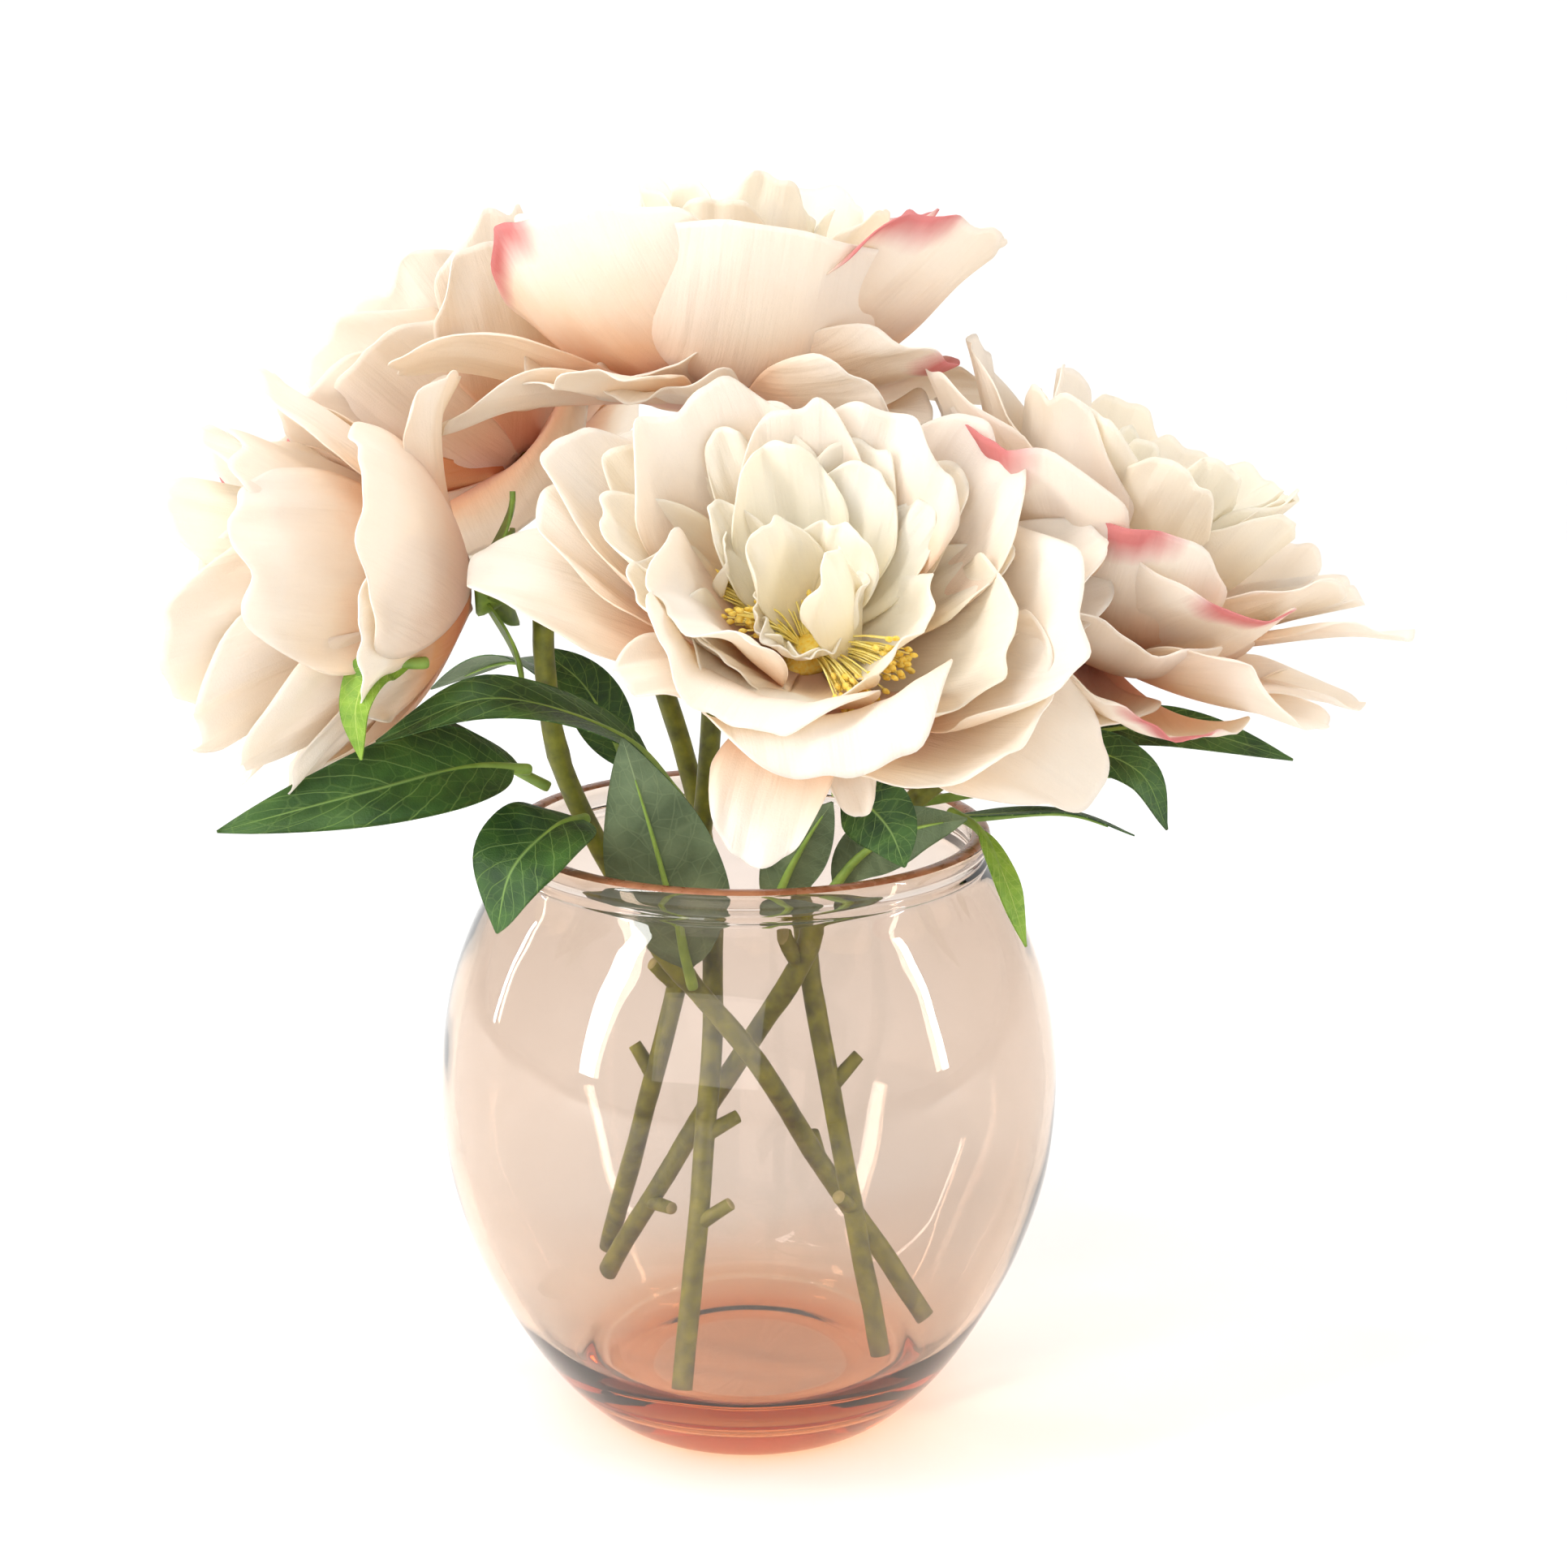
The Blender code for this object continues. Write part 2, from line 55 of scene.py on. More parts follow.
# Each stem: points of its centre line, cut end first.
STEM_RADIUS = 2.5 * MM
STEMS = {
    "top": (
        (-35.5, 24, 24), (-25.5, 10, 63.5), (-16.5, 4, 99), (-10, 3, 140), (-6.5, 6, 190)),
    "front": (
        (30, -16, 17.5), (21.6, -10, 61), (12.5, -2, 112), (12.2, -11, 145)),
    "left": (
        (41.2, -7.5, 21.5), (16.3, 3, 56), (3.3, -11, 83.3), (-11.2, -12, 102.8),
        (-21.8, -13, 116.5), (-39, -15, 151.5), (-43, -18, 176)),
    "right": (
        (-35, 15.3, 22), (-22.5, 9, 46), (-9.9, 4.5, 68.5), (11.4, -12, 108.5), (27, -16, 138),
        (52, -14, 160)),
    "back": (
        (-14.6, -36, 17.5), (-10.4, -18, 60.5), (-8.2, 6, 98), (-13, 23, 140), (-29, 34, 185)),
}
# Trimmed twigs of each stem: distance up the stem, azimuth, length.
TWIGS = {
    "top": ((52, 150, 6), (78, 200, 6)),
    "front": ((30, 250, 6), (60, 10, 7)),
    "left": ((40, 80, 6),),
    "right": ((22, 300, 8), (98, 200, 6)),
    "back": ((34, 330, 7), (56, 10, 6)),
}

# Petals of each layer. A petal is: azimuth round the flower, length, width, tilt above the
# flower's plane, curl inwards from root to tip, flick of the tip, cup of its cross-section.
# Then, if said: roll of its two edges, where its tip is dyed, from -1 to 1 across it or
# None, and how far from the middle it is rooted.
UNSAID = (0, 0, None, None)
GUARD, OUTER, MIDDLE, INNER, HEART = range(5)
LAYER_NAMES = ("guard_petals", "outer_petals", "middle_petals", "inner_petals",
               "heart_petals")
PETALS = {
    "top": {
        GUARD: (
            (26, 68, 46, -2, 16, -34, 34, 0, 50), (34, 60, 42, -14, -4, -16, 30),
            (96, 26, 50, 8, 26, -30, -24), (163, 51, 42, 11, 14, 0, 42, 0, 0, 0.3),
            (58, 48, 44, -8, 16, -12, 36), (152, 48, 44, -7, 14, -10, 34),
            (79, 33, 36, -10, 20, -16, 30), (215, 62, 48, 12, 10, -10, 30),
            (255, 64, 50, 10, 10, -10, 30, 0, 0, 0), (295, 64, 50, 10, 10, -10, 30),
            (338, 64, 46, 8, 10, -16, 30)),
        OUTER: (
            (117, 54, 86, 28, 60, 6, 62), (60, 60, 72, 27, 44, 6, 48, 0, 0, -0.55),
            (160, 68, 52, 28, 30, 0, 45, 70, 0, -0.7), (197, 70, 44, 35, 14, -10, 35),
            (228, 66, 52, 52, 34, 0, 45, 0, 0, -0.2), (262, 64, 60, 62, 34, 0, 50),
            (296, 62, 58, 60, 34, 0, 50), (330, 60, 52, 46, 34, 0, 48, 0, 0, 0.4),
            (8, 58, 50, 38, 34, 0, 48)),
    },
    "front": {
        GUARD: (
            (172, 66, 36, 17, 6, -26, 30, 0, 40), (331, 60, 40, 1, -6, -22, 22),
            (258, 41, 27, -10, -24, -20, 24), (289, 32, 13, -4, -14, -20, 30),
            (206, 40, 20, 27, 0, -20, 14, 50, 60), (135, 58, 46, 22, 10, 0, 40),
            (95, 48, 44, 22, 10, 0, 40), (55, 50, 44, 20, 10, 0, 40, 0, 0, 0.2),
            (18, 58, 40, 8, 10, -10, 36)),
        OUTER: (
            (93, 50, 30, 50, 16, 4, 40), (126, 57, 50, 43, 14, 4, 36),
            (110, 50, 38, 34, 12, 0, 36), (150, 64, 38, 33, 14, 10, 45),
            (160, 60, 34, 28, 14, 8, 45), (64, 50, 46, 46, 14, 4, 42),
            (40, 56, 46, 33, 16, 0, 40), (12, 60, 30, 20, 12, 4, 44),
            (352, 57, 60, 24, 26, 8, 50), (322, 54, 60, 20, 30, 8, 52),
            (281, 45, 52, 26, 54, -112, 30), (205, 42, 42, 54, 16, -16, 45, 30, 0),
            (244, 43, 52, 38, 34, -56, 38)),
        MIDDLE: (
            (146, 54, 25, 36, 12, 8, 45), (164, 50, 26, 40, 14, 8, 45),
            (118, 46, 17, 42, 10, 0, 40), (100, 43, 24, 44, 10, 0, 40),
            (74, 42, 26, 44, 10, 0, 40), (40, 45, 22, 36, 12, 6, 42), (14, 44, 20, 28, 12, 4, 44),
            (338, 44, 52, 26, 30, 8, 52), (188, 42, 30, 44, 18, 6, 48),
            (220, 33, 30, 46, 22, -10, 45), (250, 33, 44, 38, 26, -24, 44)),
        INNER: (
            (104, 41, 28, 54, 10, 6, 50), (68, 37, 26, 48, 10, 6, 48),
            (38, 36, 20, 40, 10, 4, 44), (325, 34, 18, 100, 10, 0, 56, 0, 0, None, 11),
            (150, 23, 12, 84, 20, 0, 30, 60, 60, None, 16), (140, 34, 16, 52, 10, 4, 46),
            (345, 30, 30, 40, 22, 6, 48)),
        HEART: (
            (132, 29, 20, 72, 8, 0, 54), (62, 27, 24, 64, 8, 0, 50), (185, 17, 14, 56, 8, 0, 46),
            (290, 14, 14, 50, 8, 0, 46), (235, 15, 16, 54, 8, 0, 46), (10, 20, 14, 60, 8, 0, 46)),
    },
    "left": {
        GUARD: (
            (27, 48, 56, 27, 34, 8, 46), (354, 45, 42, 30, 20, -10, 30, 0, 90),
            (312, 60, 44, 54, 24, 0, 42), (300, 57, 34, 44, 10, -10, 38),
            (96, 40, 40, 2, -20, -20, 30), (95, 58, 50, 44, 24, 0, 45),
            (145, 60, 52, 40, 24, 0, 45, 0, 0, 0.4), (200, 60, 52, 40, 24, 0, 45),
            (252, 60, 48, 42, 24, 0, 45)),
        OUTER: (
            (18, 58, 48, 50, 26, 0, 44, 110, 0), (60, 56, 50, 54, 20, 0, 45),
            (348, 66, 48, 66, 14, -8, 45), (110, 62, 54, 60, 20, 0, 45),
            (160, 62, 54, 56, 20, 0, 45, 0, 0, 0), (212, 62, 54, 54, 20, 0, 45),
            (262, 62, 50, 56, 20, 0, 45), (318, 64, 46, 60, 14, -8, 45)),
    },
    "right": {
        GUARD: (
            (182, 54, 54, -5, 24, 14, 44, 0, 0, 0.1), (210, 58, 46, 10, 14, 0, 40),
            (242, 66, 34, 31, 4, -10, 26, 60, 50), (262, 58, 42, 16, 10, -6, 34),
            (84, 58, 50, 36, 22, 4, 42), (120, 64, 62, 31, 34, 0, 44, 0, 0, 0),
            (156, 44, 50, -16, 20, 10, 44), (20, 62, 48, 16, 14, 0, 35),
            (338, 62, 48, 14, 12, -6, 35, 0, 0, 0.2), (300, 60, 46, 12, 12, -6, 35)),
        OUTER: (
            (147, 54, 66, 33, 48, 4, 56, 0, 0, 0.1), (168, 46, 54, 8, 34, 8, 50),
            (94, 66, 52, 36, 18, 0, 40), (192, 50, 56, 28, 34, 0, 50, 0, 0, 0.1),
            (73, 68, 50, 45, 14, 0, 40), (60, 58, 48, 62, 14, 0, 45),
            (108, 56, 48, 52, 18, 0, 45), (232, 54, 44, 40, 24, 0, 45),
            (262, 58, 42, 38, 16, -6, 42), (300, 60, 50, 42, 24, 0, 45),
            (338, 60, 50, 48, 24, 0, 45, 0, 0, 0), (18, 60, 50, 54, 24, 0, 45)),
    },
    "back": {
        GUARD: (
            (345, 54, 48, 34, 14, -6, 36), (326, 55, 38, 24, 10, -10, 34),
            (20, 50, 46, 30, 20, -6, 36), (70, 54, 46, 28, 20, 0, 38),
            (130, 52, 42, 14, 12, -8, 34, 0, 0, 0), (190, 54, 44, 12, 10, -8, 34),
            (250, 54, 44, 14, 10, -8, 34), (292, 54, 44, 18, 10, -8, 34),
            (30, 44, 70, -42, -30, -8, 48, 0, 0, None, 3)),
        OUTER: (
            (42, 51, 50, 60, 20, 0, 45), (88, 55, 48, 48, 20, 0, 45), (2, 52, 48, 50, 20, 0, 45),
            (128, 52, 46, 50, 20, 0, 45), (172, 52, 46, 48, 20, 0, 45, 0, 0, 0.2),
            (220, 52, 46, 48, 20, 0, 45), (268, 52, 46, 48, 20, 0, 45),
            (315, 52, 46, 48, 20, 0, 45)),
    },
}
# The other inner layers are alike in all the blooms: number of petals, length and width
# as shares of the petal length, tilt, curl, cup.
INNER_LAYERS = {
    MIDDLE: (9, 0.80, 0.48, 58, 24, 48),
    INNER: (9, 0.72, 0.36, 66, 20, 46),
    HEART: (8, 0.50, 0.22, 72, 16, 44),
}

# Each leaf: points of its midrib from stalk to tip, width of the blade, the way its upper
# side faces, and the share of its length that is stalk.
LEAVES = {
    "leaf_left_long": (
        ((-46, -26, 157), (-58, -37, 160), (-77, -48, 157.5), (-107, -55, 151)),
        22, (0, -0.7, 0.7), 0.1),
    "leaf_left_thin": (
        ((-44, -2, 147), (-60, 0, 154.5), (-80, 0, 161), (-117, 0, 164)),
        13, (0, -0.2, 1), 0.14),
    "leaf_rim_left": (
        ((-34, -29, 147), (-40, -37, 147), (-48.5, -43.5, 139.5), (-52, -44, 126)),
        24, (-0.4, -0.7, 0.6), 0.08),
    "leaf_mouth_front": (
        ((-11.5, -26, 108), (-15, -31, 124), (-19.5, -35, 144), (-25.2, -44, 168)),
        26, (0.1, 1, 0.1), 0.1),
    "leaf_left_arch": (
        ((-14, -25, 150), (-26, -34, 166), (-51, -50, 177.5), (-74.5, -52, 169)),
        15, (-0.2, -0.5, 0.8), 0.22),
    "leaf_left_dark": (
        ((-25, 2, 144), (-30, 5, 156), (-37, 8, 168), (-48, 11, 176)),
        13, (-0.3, -0.6, 0.7), 0.16),
    "leaf_left_hanging": (
        ((-64, -50, 185), (-73, -56, 185), (-77, -59, 178), (-76.5, -59, 167)),
        10, (-0.5, -0.8, 0.2), 0.1),
    "leaf_right_arc": (
        ((56, -24, 152), (70, -28, 161), (83, -30, 157), (89.2, -30, 144.6)),
        11, (0.3, -0.7, 0.6), 0.12),
    "leaf_right_dark": (
        ((64, 6, 153), (82, 4, 158.5), (100, 1, 158.5), (121, 0, 152.5)),
        12, (0.1, -0.6, 0.8), 0.14),
    "leaf_right_thin_low": (
        ((35, -12, 142), (50.5, -11, 142.5), (70, -10, 143), (85, -10, 137.8)),
        9, (0.1, 0.1, 1), 0.2),
    "leaf_right_thin_high": (
        ((34, 2, 142), (56, 2, 145.5), (76, 0, 149), (92, 0, 148)),
        10, (0, 0.08, 1), 0.2),
    "leaf_rim_right": (
        ((44, -20, 146), (50, -30, 144), (55, -38, 134), (59, -39, 121.5)),
        7, (0.6, -0.7, 0.3), 0.3),
    "leaf_front_center": (
        ((18, -56, 160), (23.5, -59, 158.5), (29, -60.5, 153), (32.3, -60, 145)),
        15, (0.1, -0.9, 0.4), 0.1),
    "leaf_mouth_center": (
        ((4, -24, 120), (8, -29, 133), (13, -34, 144), (18, -39, 153)),
        13, (-0.2, 1, -0.4), 0.12),
    "leaf_mouth_right": (
        ((16, -26, 127), (24, -31, 139), (34, -36, 146), (46, -41, 150)),
        13, (-0.3, 0.8, -0.5), 0.12),
    "leaf_back_left": (
        ((-24, 36, 142), (-40, 48, 156), (-58, 62, 162), (-80, 76, 152)),
        24, (-0.2, 0.4, 0.9), 0.12),
    "leaf_back_center": (
        ((4, 38, 142), (7, 52, 156), (11, 72, 160), (15, 93, 145)),
        25, (0, 0.4, 0.9), 0.12),
    "leaf_back_right": (
        ((28, 32, 142), (44, 46, 154), (64, 60, 157), (86, 72, 144)),
        24, (0.3, 0.4, 0.9), 0.12),
    "leaf_back_high": (
        ((24, 26, 148), (30, 38, 170), (38, 50, 190), (50, 64, 206)),
        22, (0.3, 0.8, 0.1), 0.14),
}
# These two leaves take a lighter green copy of the leaf print: painted light on leaves that look
# brightly lit.
LIT_LEAVES = ("leaf_rim_right", "leaf_left_hanging")


# ---- small helpers ------------------------------------------------------------------
def smooth_step(low, high, value):
    share = min(max((value - low) / (high - low), 0.0), 1.0)
    return share * share * (3.0 - 2.0 * share)


def smooth_line(points, spans):
    """Even steps along a smooth curve through the points."""
    knots = [Vector(point) for point in points]
    knots = [2 * knots[0] - knots[1]] + knots + [2 * knots[-1] - knots[-2]]
    line = []
    for index in range(1, len(knots) - 2):
        before, start, end, after = knots[index - 1:index + 3]
        for step in range(spans):
            t = step / spans
            line.append(0.5 * (2 * start + (end - before) * t
                               + (2 * before - 5 * start + 4 * end - after) * t * t
                               + (3 * start - before - 3 * end + after) * t ** 3))
    line.append(knots[-2])
    return line


def in_metres(points):
    return [Vector(point) * MM for point in points]


def flat_way(angle):
    """The direction that an angle points in, in the XY plane."""
    return Vector((math.cos(angle), math.sin(angle), 0.0))


def heading(line, index):
    """The direction of a line at one of its points."""
    return (line[min(index + 1, len(line) - 1)] - line[max(index - 1, 0)]).normalized()


class Shape:
    """Points and faces of one piece, with what its material reads at each point."""

    def __init__(self):
        self.points, self.faces, self.slots = [], [], []
        self.marks = {"reach": [], "across": [], "dye": [], "tone": []}
        self.lay = []

    def add(self, place, reach=0.0, across=0.0, dye=0.0, tone=0.0, lay=(0.0, 0.0, 0.0)):
        self.points.append(tuple(place))
        for mark, value in zip(self.marks, (reach, across, dye, tone)):
            self.marks[mark].append(value)
        self.lay.append(tuple(lay))
        return len(self.points) - 1

    def face(self, corners, slot=0):
        self.faces.append(tuple(corners))
        self.slots.append(slot)

    def bridge(self, first, second, slot=0, ring=False):
        """Quads between two rows of points."""
        last = len(first) if ring else len(first) - 1
        for index in range(last):
            after = (index + 1) % len(first)
            self.face((first[index], first[after], second[after], second[index]), slot)

    def bridge_all(self, rows, slot=0, ring=False):
        for first, second in zip(rows, rows[1:]):
            self.bridge(first, second, slot, ring)

    def fan(self, ring, middle, slot=0):
        """Triangles that close a ring round one point."""
        for index, corner in enumerate(ring):
            self.face((corner, ring[(index + 1) % len(ring)], middle), slot)

    def mesh(self, name, materials):
        mesh = bpy.data.meshes.new(name)
        mesh.from_pydata(self.points, [], self.faces)
        mesh.polygons.foreach_set("material_index", self.slots)
        mesh.shade_smooth()
        for material in materials:
            mesh.materials.append(material)
        return mesh

    def build(self, name, materials, body_slot, replaced):
        """Makes the piece that stands for one CAD node."""
        mesh = self.mesh(name, materials)
        for mark, values in self.marks.items():
            mesh.attributes.new(mark, "FLOAT", "POINT").data.foreach_set("value", values)
        flat = [value for place in self.lay for value in place]
        mesh.attributes.new("lay", "FLOAT_VECTOR", "POINT").data.foreach_set("vector", flat)
        mesh.update()
        piece = place_object(name, mesh)
        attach(piece, "root")
        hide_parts(replaced)
        return piece


def place_object(name, data):
    thing = bpy.data.objects.new(name, data)
    bpy.context.scene.collection.objects.link(thing)
    return thing


def add_modifier(piece, name, kind, **settings):
    modifier = piece.modifiers.new(name, kind)
    for key, value in settings.items():
        setattr(modifier, key, value)


def bloom_frame(bloom):
    """The bloom's own frame: +Z the way that it faces."""
    hub, axis = BLOOMS[bloom][:2]
    turn = Vector(axis).normalized().to_track_quat("Z", "Y").to_matrix().to_4x4()
    return Matrix.Translation(Vector(hub) * MM) @ turn


# ---- materials ----------------------------------------------------------------------
def colour(code):
    """An sRGB hex colour as the linear values that shaders take."""
    parts = [int(code[index:index + 2], 16) / 255 for index in (1, 3, 5)]
    return (*[part / 12.92 if part <= 0.04045 else ((part + 0.055) / 1.055) ** 2.4
              for part in parts], 1.0)


def set_up(tree, node, settings):
    """Each setting is a property, a socket's value, or the socket that feeds it."""
    for key, value in settings.items():
        if isinstance(value, bpy.types.NodeSocket):
            tree.links.new(value, node.inputs[key])
        elif isinstance(key, str) and hasattr(node, key):
            setattr(node, key, value)
        else:
            node.inputs[key].default_value = value
    return node


def add_node(tree, kind, settings):
    return set_up(tree, tree.nodes.new(kind), settings)


def new_material(name):
    material = bpy.data.materials.new(name)
    material.use_nodes = True
    tree = material.node_tree
    return material, tree, tree.nodes["Principled BSDF"]


def read_mark(tree, mark, socket="Fac"):
    """What the mesh says at a point: one of the marks of its Shape, or its lay."""
    return add_node(tree, "ShaderNodeAttribute", {"attribute_name": mark}).outputs[socket]


def own_place(tree):
    return add_node(tree, "ShaderNodeTexCoord", {}).outputs["Object"]


def cloud(tree, place, scale, detail):
    return add_node(tree, "ShaderNodeTexNoise",
                    {"Scale": scale, "Detail": detail, "Vector": place}).outputs["Fac"]


def stretched(tree, place, scale):
    return add_node(tree, "ShaderNodeMapping", {"Scale": scale, "Vector": place}).outputs[0]


def work_out(tree, operation, *values):
    return add_node(tree, "ShaderNodeMath",
                    {"operation": operation, **dict(enumerate(values))}).outputs[0]


def ramp(tree, source, *stops):
    """Colours or greys laid out along a value."""
    node = add_node(tree, "ShaderNodeValToRGB", {"Fac": source})
    elements = node.color_ramp.elements
    while len(elements) < len(stops):
        elements.new(0.5)
    for element, (place, code) in zip(elements, stops):
        element.position = place
        element.color = colour(code) if isinstance(code, str) else (code, code, code, 1.0)
    return node.outputs["Color"]


def blend(tree, share, under, over, kind="MIX"):
    return add_node(tree, "ShaderNodeMix", {"data_type": "RGBA", "blend_type": kind,
                                            0: share, 6: under, 7: over}).outputs[2]


def bump(tree, height, strength, depth):
    return add_node(tree, "ShaderNodeBump", {"Strength": strength, "Distance": depth,
                                             "Height": height}).outputs["Normal"]


def petal_cloth(name, pale, *stops):
    """Polyester petal cloth, heat-pressed and airbrushed: peach at the root, ivory at the
    edge, the peach partly dye and partly painted shade for the crevices deep in the bloom,
    with pressed creases that run from root to edge and a rose dye on some tips."""
    material, tree, shader = new_material(name)
    lay = read_mark(tree, "lay", "Vector")
    # Peach root to ivory edge, broken up over 12 mm so that no petal's fade is even. The peach
    # is partly airbrushed dye and partly painted shade where the petals crowd at the root.
    root_dye_and_shade = work_out(tree, "MULTIPLY_ADD", cloud(tree, lay, 1 / 0.012, 3.0), 0.22,
                       read_mark(tree, "reach"))
    washed = blend(tree, read_mark(tree, "tone"), ramp(tree, root_dye_and_shade, *stops), colour(pale))
    # Rose dye wicks in from the edge along the weave, in streaks about 3 mm wide.
    streaks = cloud(tree, stretched(tree, lay, (320.0, 90.0, 60.0)), 1.0, 2.0)
    wicked = work_out(tree, "MULTIPLY_ADD", streaks, 0.3, read_mark(tree, "dye"))
    rose = blend(tree, ramp(tree, wicked, (0.32, 0.0), (1.0, 0.88)), washed,
                 colour("#df7b7a"))
    # Pressed creases about 2.5 mm apart, and a weave drawn at 0.35 mm, coarser than real.
    creases = cloud(tree, stretched(tree, lay, (400.0, 34.0, 34.0)), 1.0, 3.0)
    weave = cloud(tree, lay, 1 / 0.00035, 1.0)
    pressed = bump(tree, work_out(tree, "MULTIPLY_ADD", weave, 0.10, creases), 0.8, 0.0007)
    set_up(tree, shader, {
        "Base Color": rose, "Roughness": ramp(tree, creases, (0.3, 0.78), (0.7, 0.62)),
        "Normal": pressed, "Sheen Weight": 0.15, "Sheen Roughness": 0.5,
        "Specular IOR Level": 0.25})
    # One layer of cloth lets through about a third of the light, a little warmer.
    glow = add_node(tree, "ShaderNodeBsdfTranslucent", {
        "Color": blend(tree, 1.0, rose, colour("#fff4e3"), "MULTIPLY"), "Normal": pressed})
    cloth = add_node(tree, "ShaderNodeMixShader", {
        0: 0.37, 1: shader.outputs["BSDF"], 2: glow.outputs["BSDF"]})
    set_up(tree, tree.nodes["Material Output"], {"Surface": cloth.outputs["Shader"]})
    return material


def leaf_print(name, ground, light, vein, gloss, side_vein=0.60):
    """Polyester leaf cloth with a net of veins printed on a green ground."""
    material, tree, shader = new_material(name)
    lay = read_mark(tree, "lay", "Vector")
    mottle = cloud(tree, lay, 1 / 0.009, 4.0)
    green = ramp(tree, mottle, (0.32, ground), (0.72, light))
    off_rib = work_out(tree, "ABSOLUTE", read_mark(tree, "across"))
    rib = ramp(tree, off_rib, (0.0, 1.0), (0.05, 0.0))
    # Side veins leave the midrib 8 or 9 times along the blade and sweep towards the tip.
    swept = work_out(tree, "MULTIPLY_ADD", off_rib, -0.24, read_mark(tree, "reach"))
    wander = work_out(tree, "MULTIPLY_ADD", mottle, 0.07, swept)
    spread = work_out(tree, "PINGPONG", work_out(tree, "MULTIPLY", wander, 8.5), 0.5)
    side = ramp(tree, spread, (0.0, side_vein), (0.05, 0.0))
    # A finer net, its meshes about 4 mm wide, printed fainter.
    net = add_node(tree, "ShaderNodeTexVoronoi", {
        "feature": "DISTANCE_TO_EDGE", "Scale": 1 / 0.0042, "Vector": lay})
    threads = ramp(tree, net.outputs["Distance"], (0.0, 0.18), (0.05, 0.0))
    veins = work_out(tree, "MAXIMUM", work_out(tree, "MAXIMUM", rib, side), threads)
    weave = cloud(tree, lay, 1 / 0.0005, 1.0)
    raised = work_out(tree, "MULTIPLY_ADD", weave, 0.5, veins)
    set_up(tree, shader, {
        "Base Color": blend(tree, veins, green, colour(vein)),
        "Roughness": ramp(tree, weave, (0.3, gloss), (0.7, gloss + 0.14)),
        "Normal": bump(tree, raised, 0.45, 0.0004), "Specular IOR Level": 0.35})
    return material


def mottled_skin(name, ground, light, rough, grain=0.004):
    """A dyed skin, or the brown painted shade on the vase's lip, with faint mottling,
    which breaks up its sheen.
    """
    material, tree, shader = new_material(name)
    mottle = cloud(tree, own_place(tree), 1 / grain, 4.0)
    set_up(tree, shader, {
        "Base Color": ramp(tree, mottle, (0.3, ground), (0.75, light)),
        "Roughness": ramp(tree, mottle, (0.3, rough), (0.75, rough + 0.15)),
        "Normal": bump(tree, mottle, 0.4, 0.0005)})
    return material


def blush_glass():
    """Soda-lime glass, blown in a mould and tinted in the melt: clear and pink where it is
    thin, rosy brown where one looks through the thick heel and lip."""
    material, tree, shader = new_material("blush_soda_glass")
    # Mould waves about 35 mm long bend the reflections.
    waves = bump(tree, cloud(tree, own_place(tree), 1 / 0.035, 1.0), 0.5, 0.0012)
    set_up(tree, shader, {"Base Color": (0.80, 0.775, 0.775, 1.0), "IOR": 1.5,
                          "Transmission Weight": 1.0, "Roughness": 0.015, "Normal": waves})
    clear = add_node(tree, "ShaderNodeBsdfTransparent", {"Color": (0.985, 0.965, 0.955, 1.0)})
    path = add_node(tree, "ShaderNodeLightPath", {})
    glass = add_node(tree, "ShaderNodeMixShader", {
        0: path.outputs["Is Shadow Ray"], 1: shader.outputs["BSDF"], 2: clear.outputs["BSDF"]})
    melt = add_node(tree, "ShaderNodeVolumeAbsorption", {
        "Color": (0.92, 0.53, 0.08, 1.0), "Density": 66.0})
    set_up(tree, tree.nodes["Material Output"], {
        "Surface": glass.outputs["Shader"], "Volume": melt.outputs["Volume"]})
    return material


def background_paper():
    """Seamless background paper, matte and faintly fibrous."""
    material, tree, shader = new_material("background_paper")
    fibre = cloud(tree, own_place(tree), 1 / 0.02, 2.0)
    set_up(tree, shader, {"Base Color": ramp(tree, fibre, (0.0, "#fbfaf9"), (1.0, "#ffffff")),
                          "Roughness": 0.9, "Specular IOR Level": 0.1})
    return material


# ---- vase ---------------------------------------------------------------------------
# The glass in section, as radius and height in mm: the foot with its ground ring, then up
# the outside over the ridges of the neck, over the rolled lip, and down the inside.
FOOT = ((0, 0), (23, 0), (25.2, 0.4), (27.6, 0.4), (29.8, 0))
OUTSIDE = ((33, 0.1), (38.5, 3.6), (47, 12.8), (55.6, 26.2), (63.2, 42), (68.3, 59),
           (70, 75.5), (69.4, 88), (66.8, 102), (62.2, 115), (57.5, 124), (54.3, 128.8),
           (53.4, 130.4), (53.8, 131.3), (53, 132.4), (53.3, 133.5), (54, 135),
           (54, 136.6), (53.1, 137.6))
LIP = ((51.7, 137.8), (50.3, 137.4), (49.7, 136.2))
INSIDE = ((50, 132.4), (51.3, 128), (54.8, 122.2), (59.4, 113.6), (63.8, 101), (66.3, 87.6),
          (67, 75.5), (65.3, 59.8), (60.4, 43.2), (53.2, 28), (46, 18.6), (40, 13.8),
          (36.4, 12.6), (34.8, 12.2), (34, 11.5), (32.4, 11.4))
INNER_FLOOR = 11.4
RIM_SHADE_FROM = 137.0 * MM     # a brown band of painted shade covers the lip above this height
GLASS_SIDES = 160


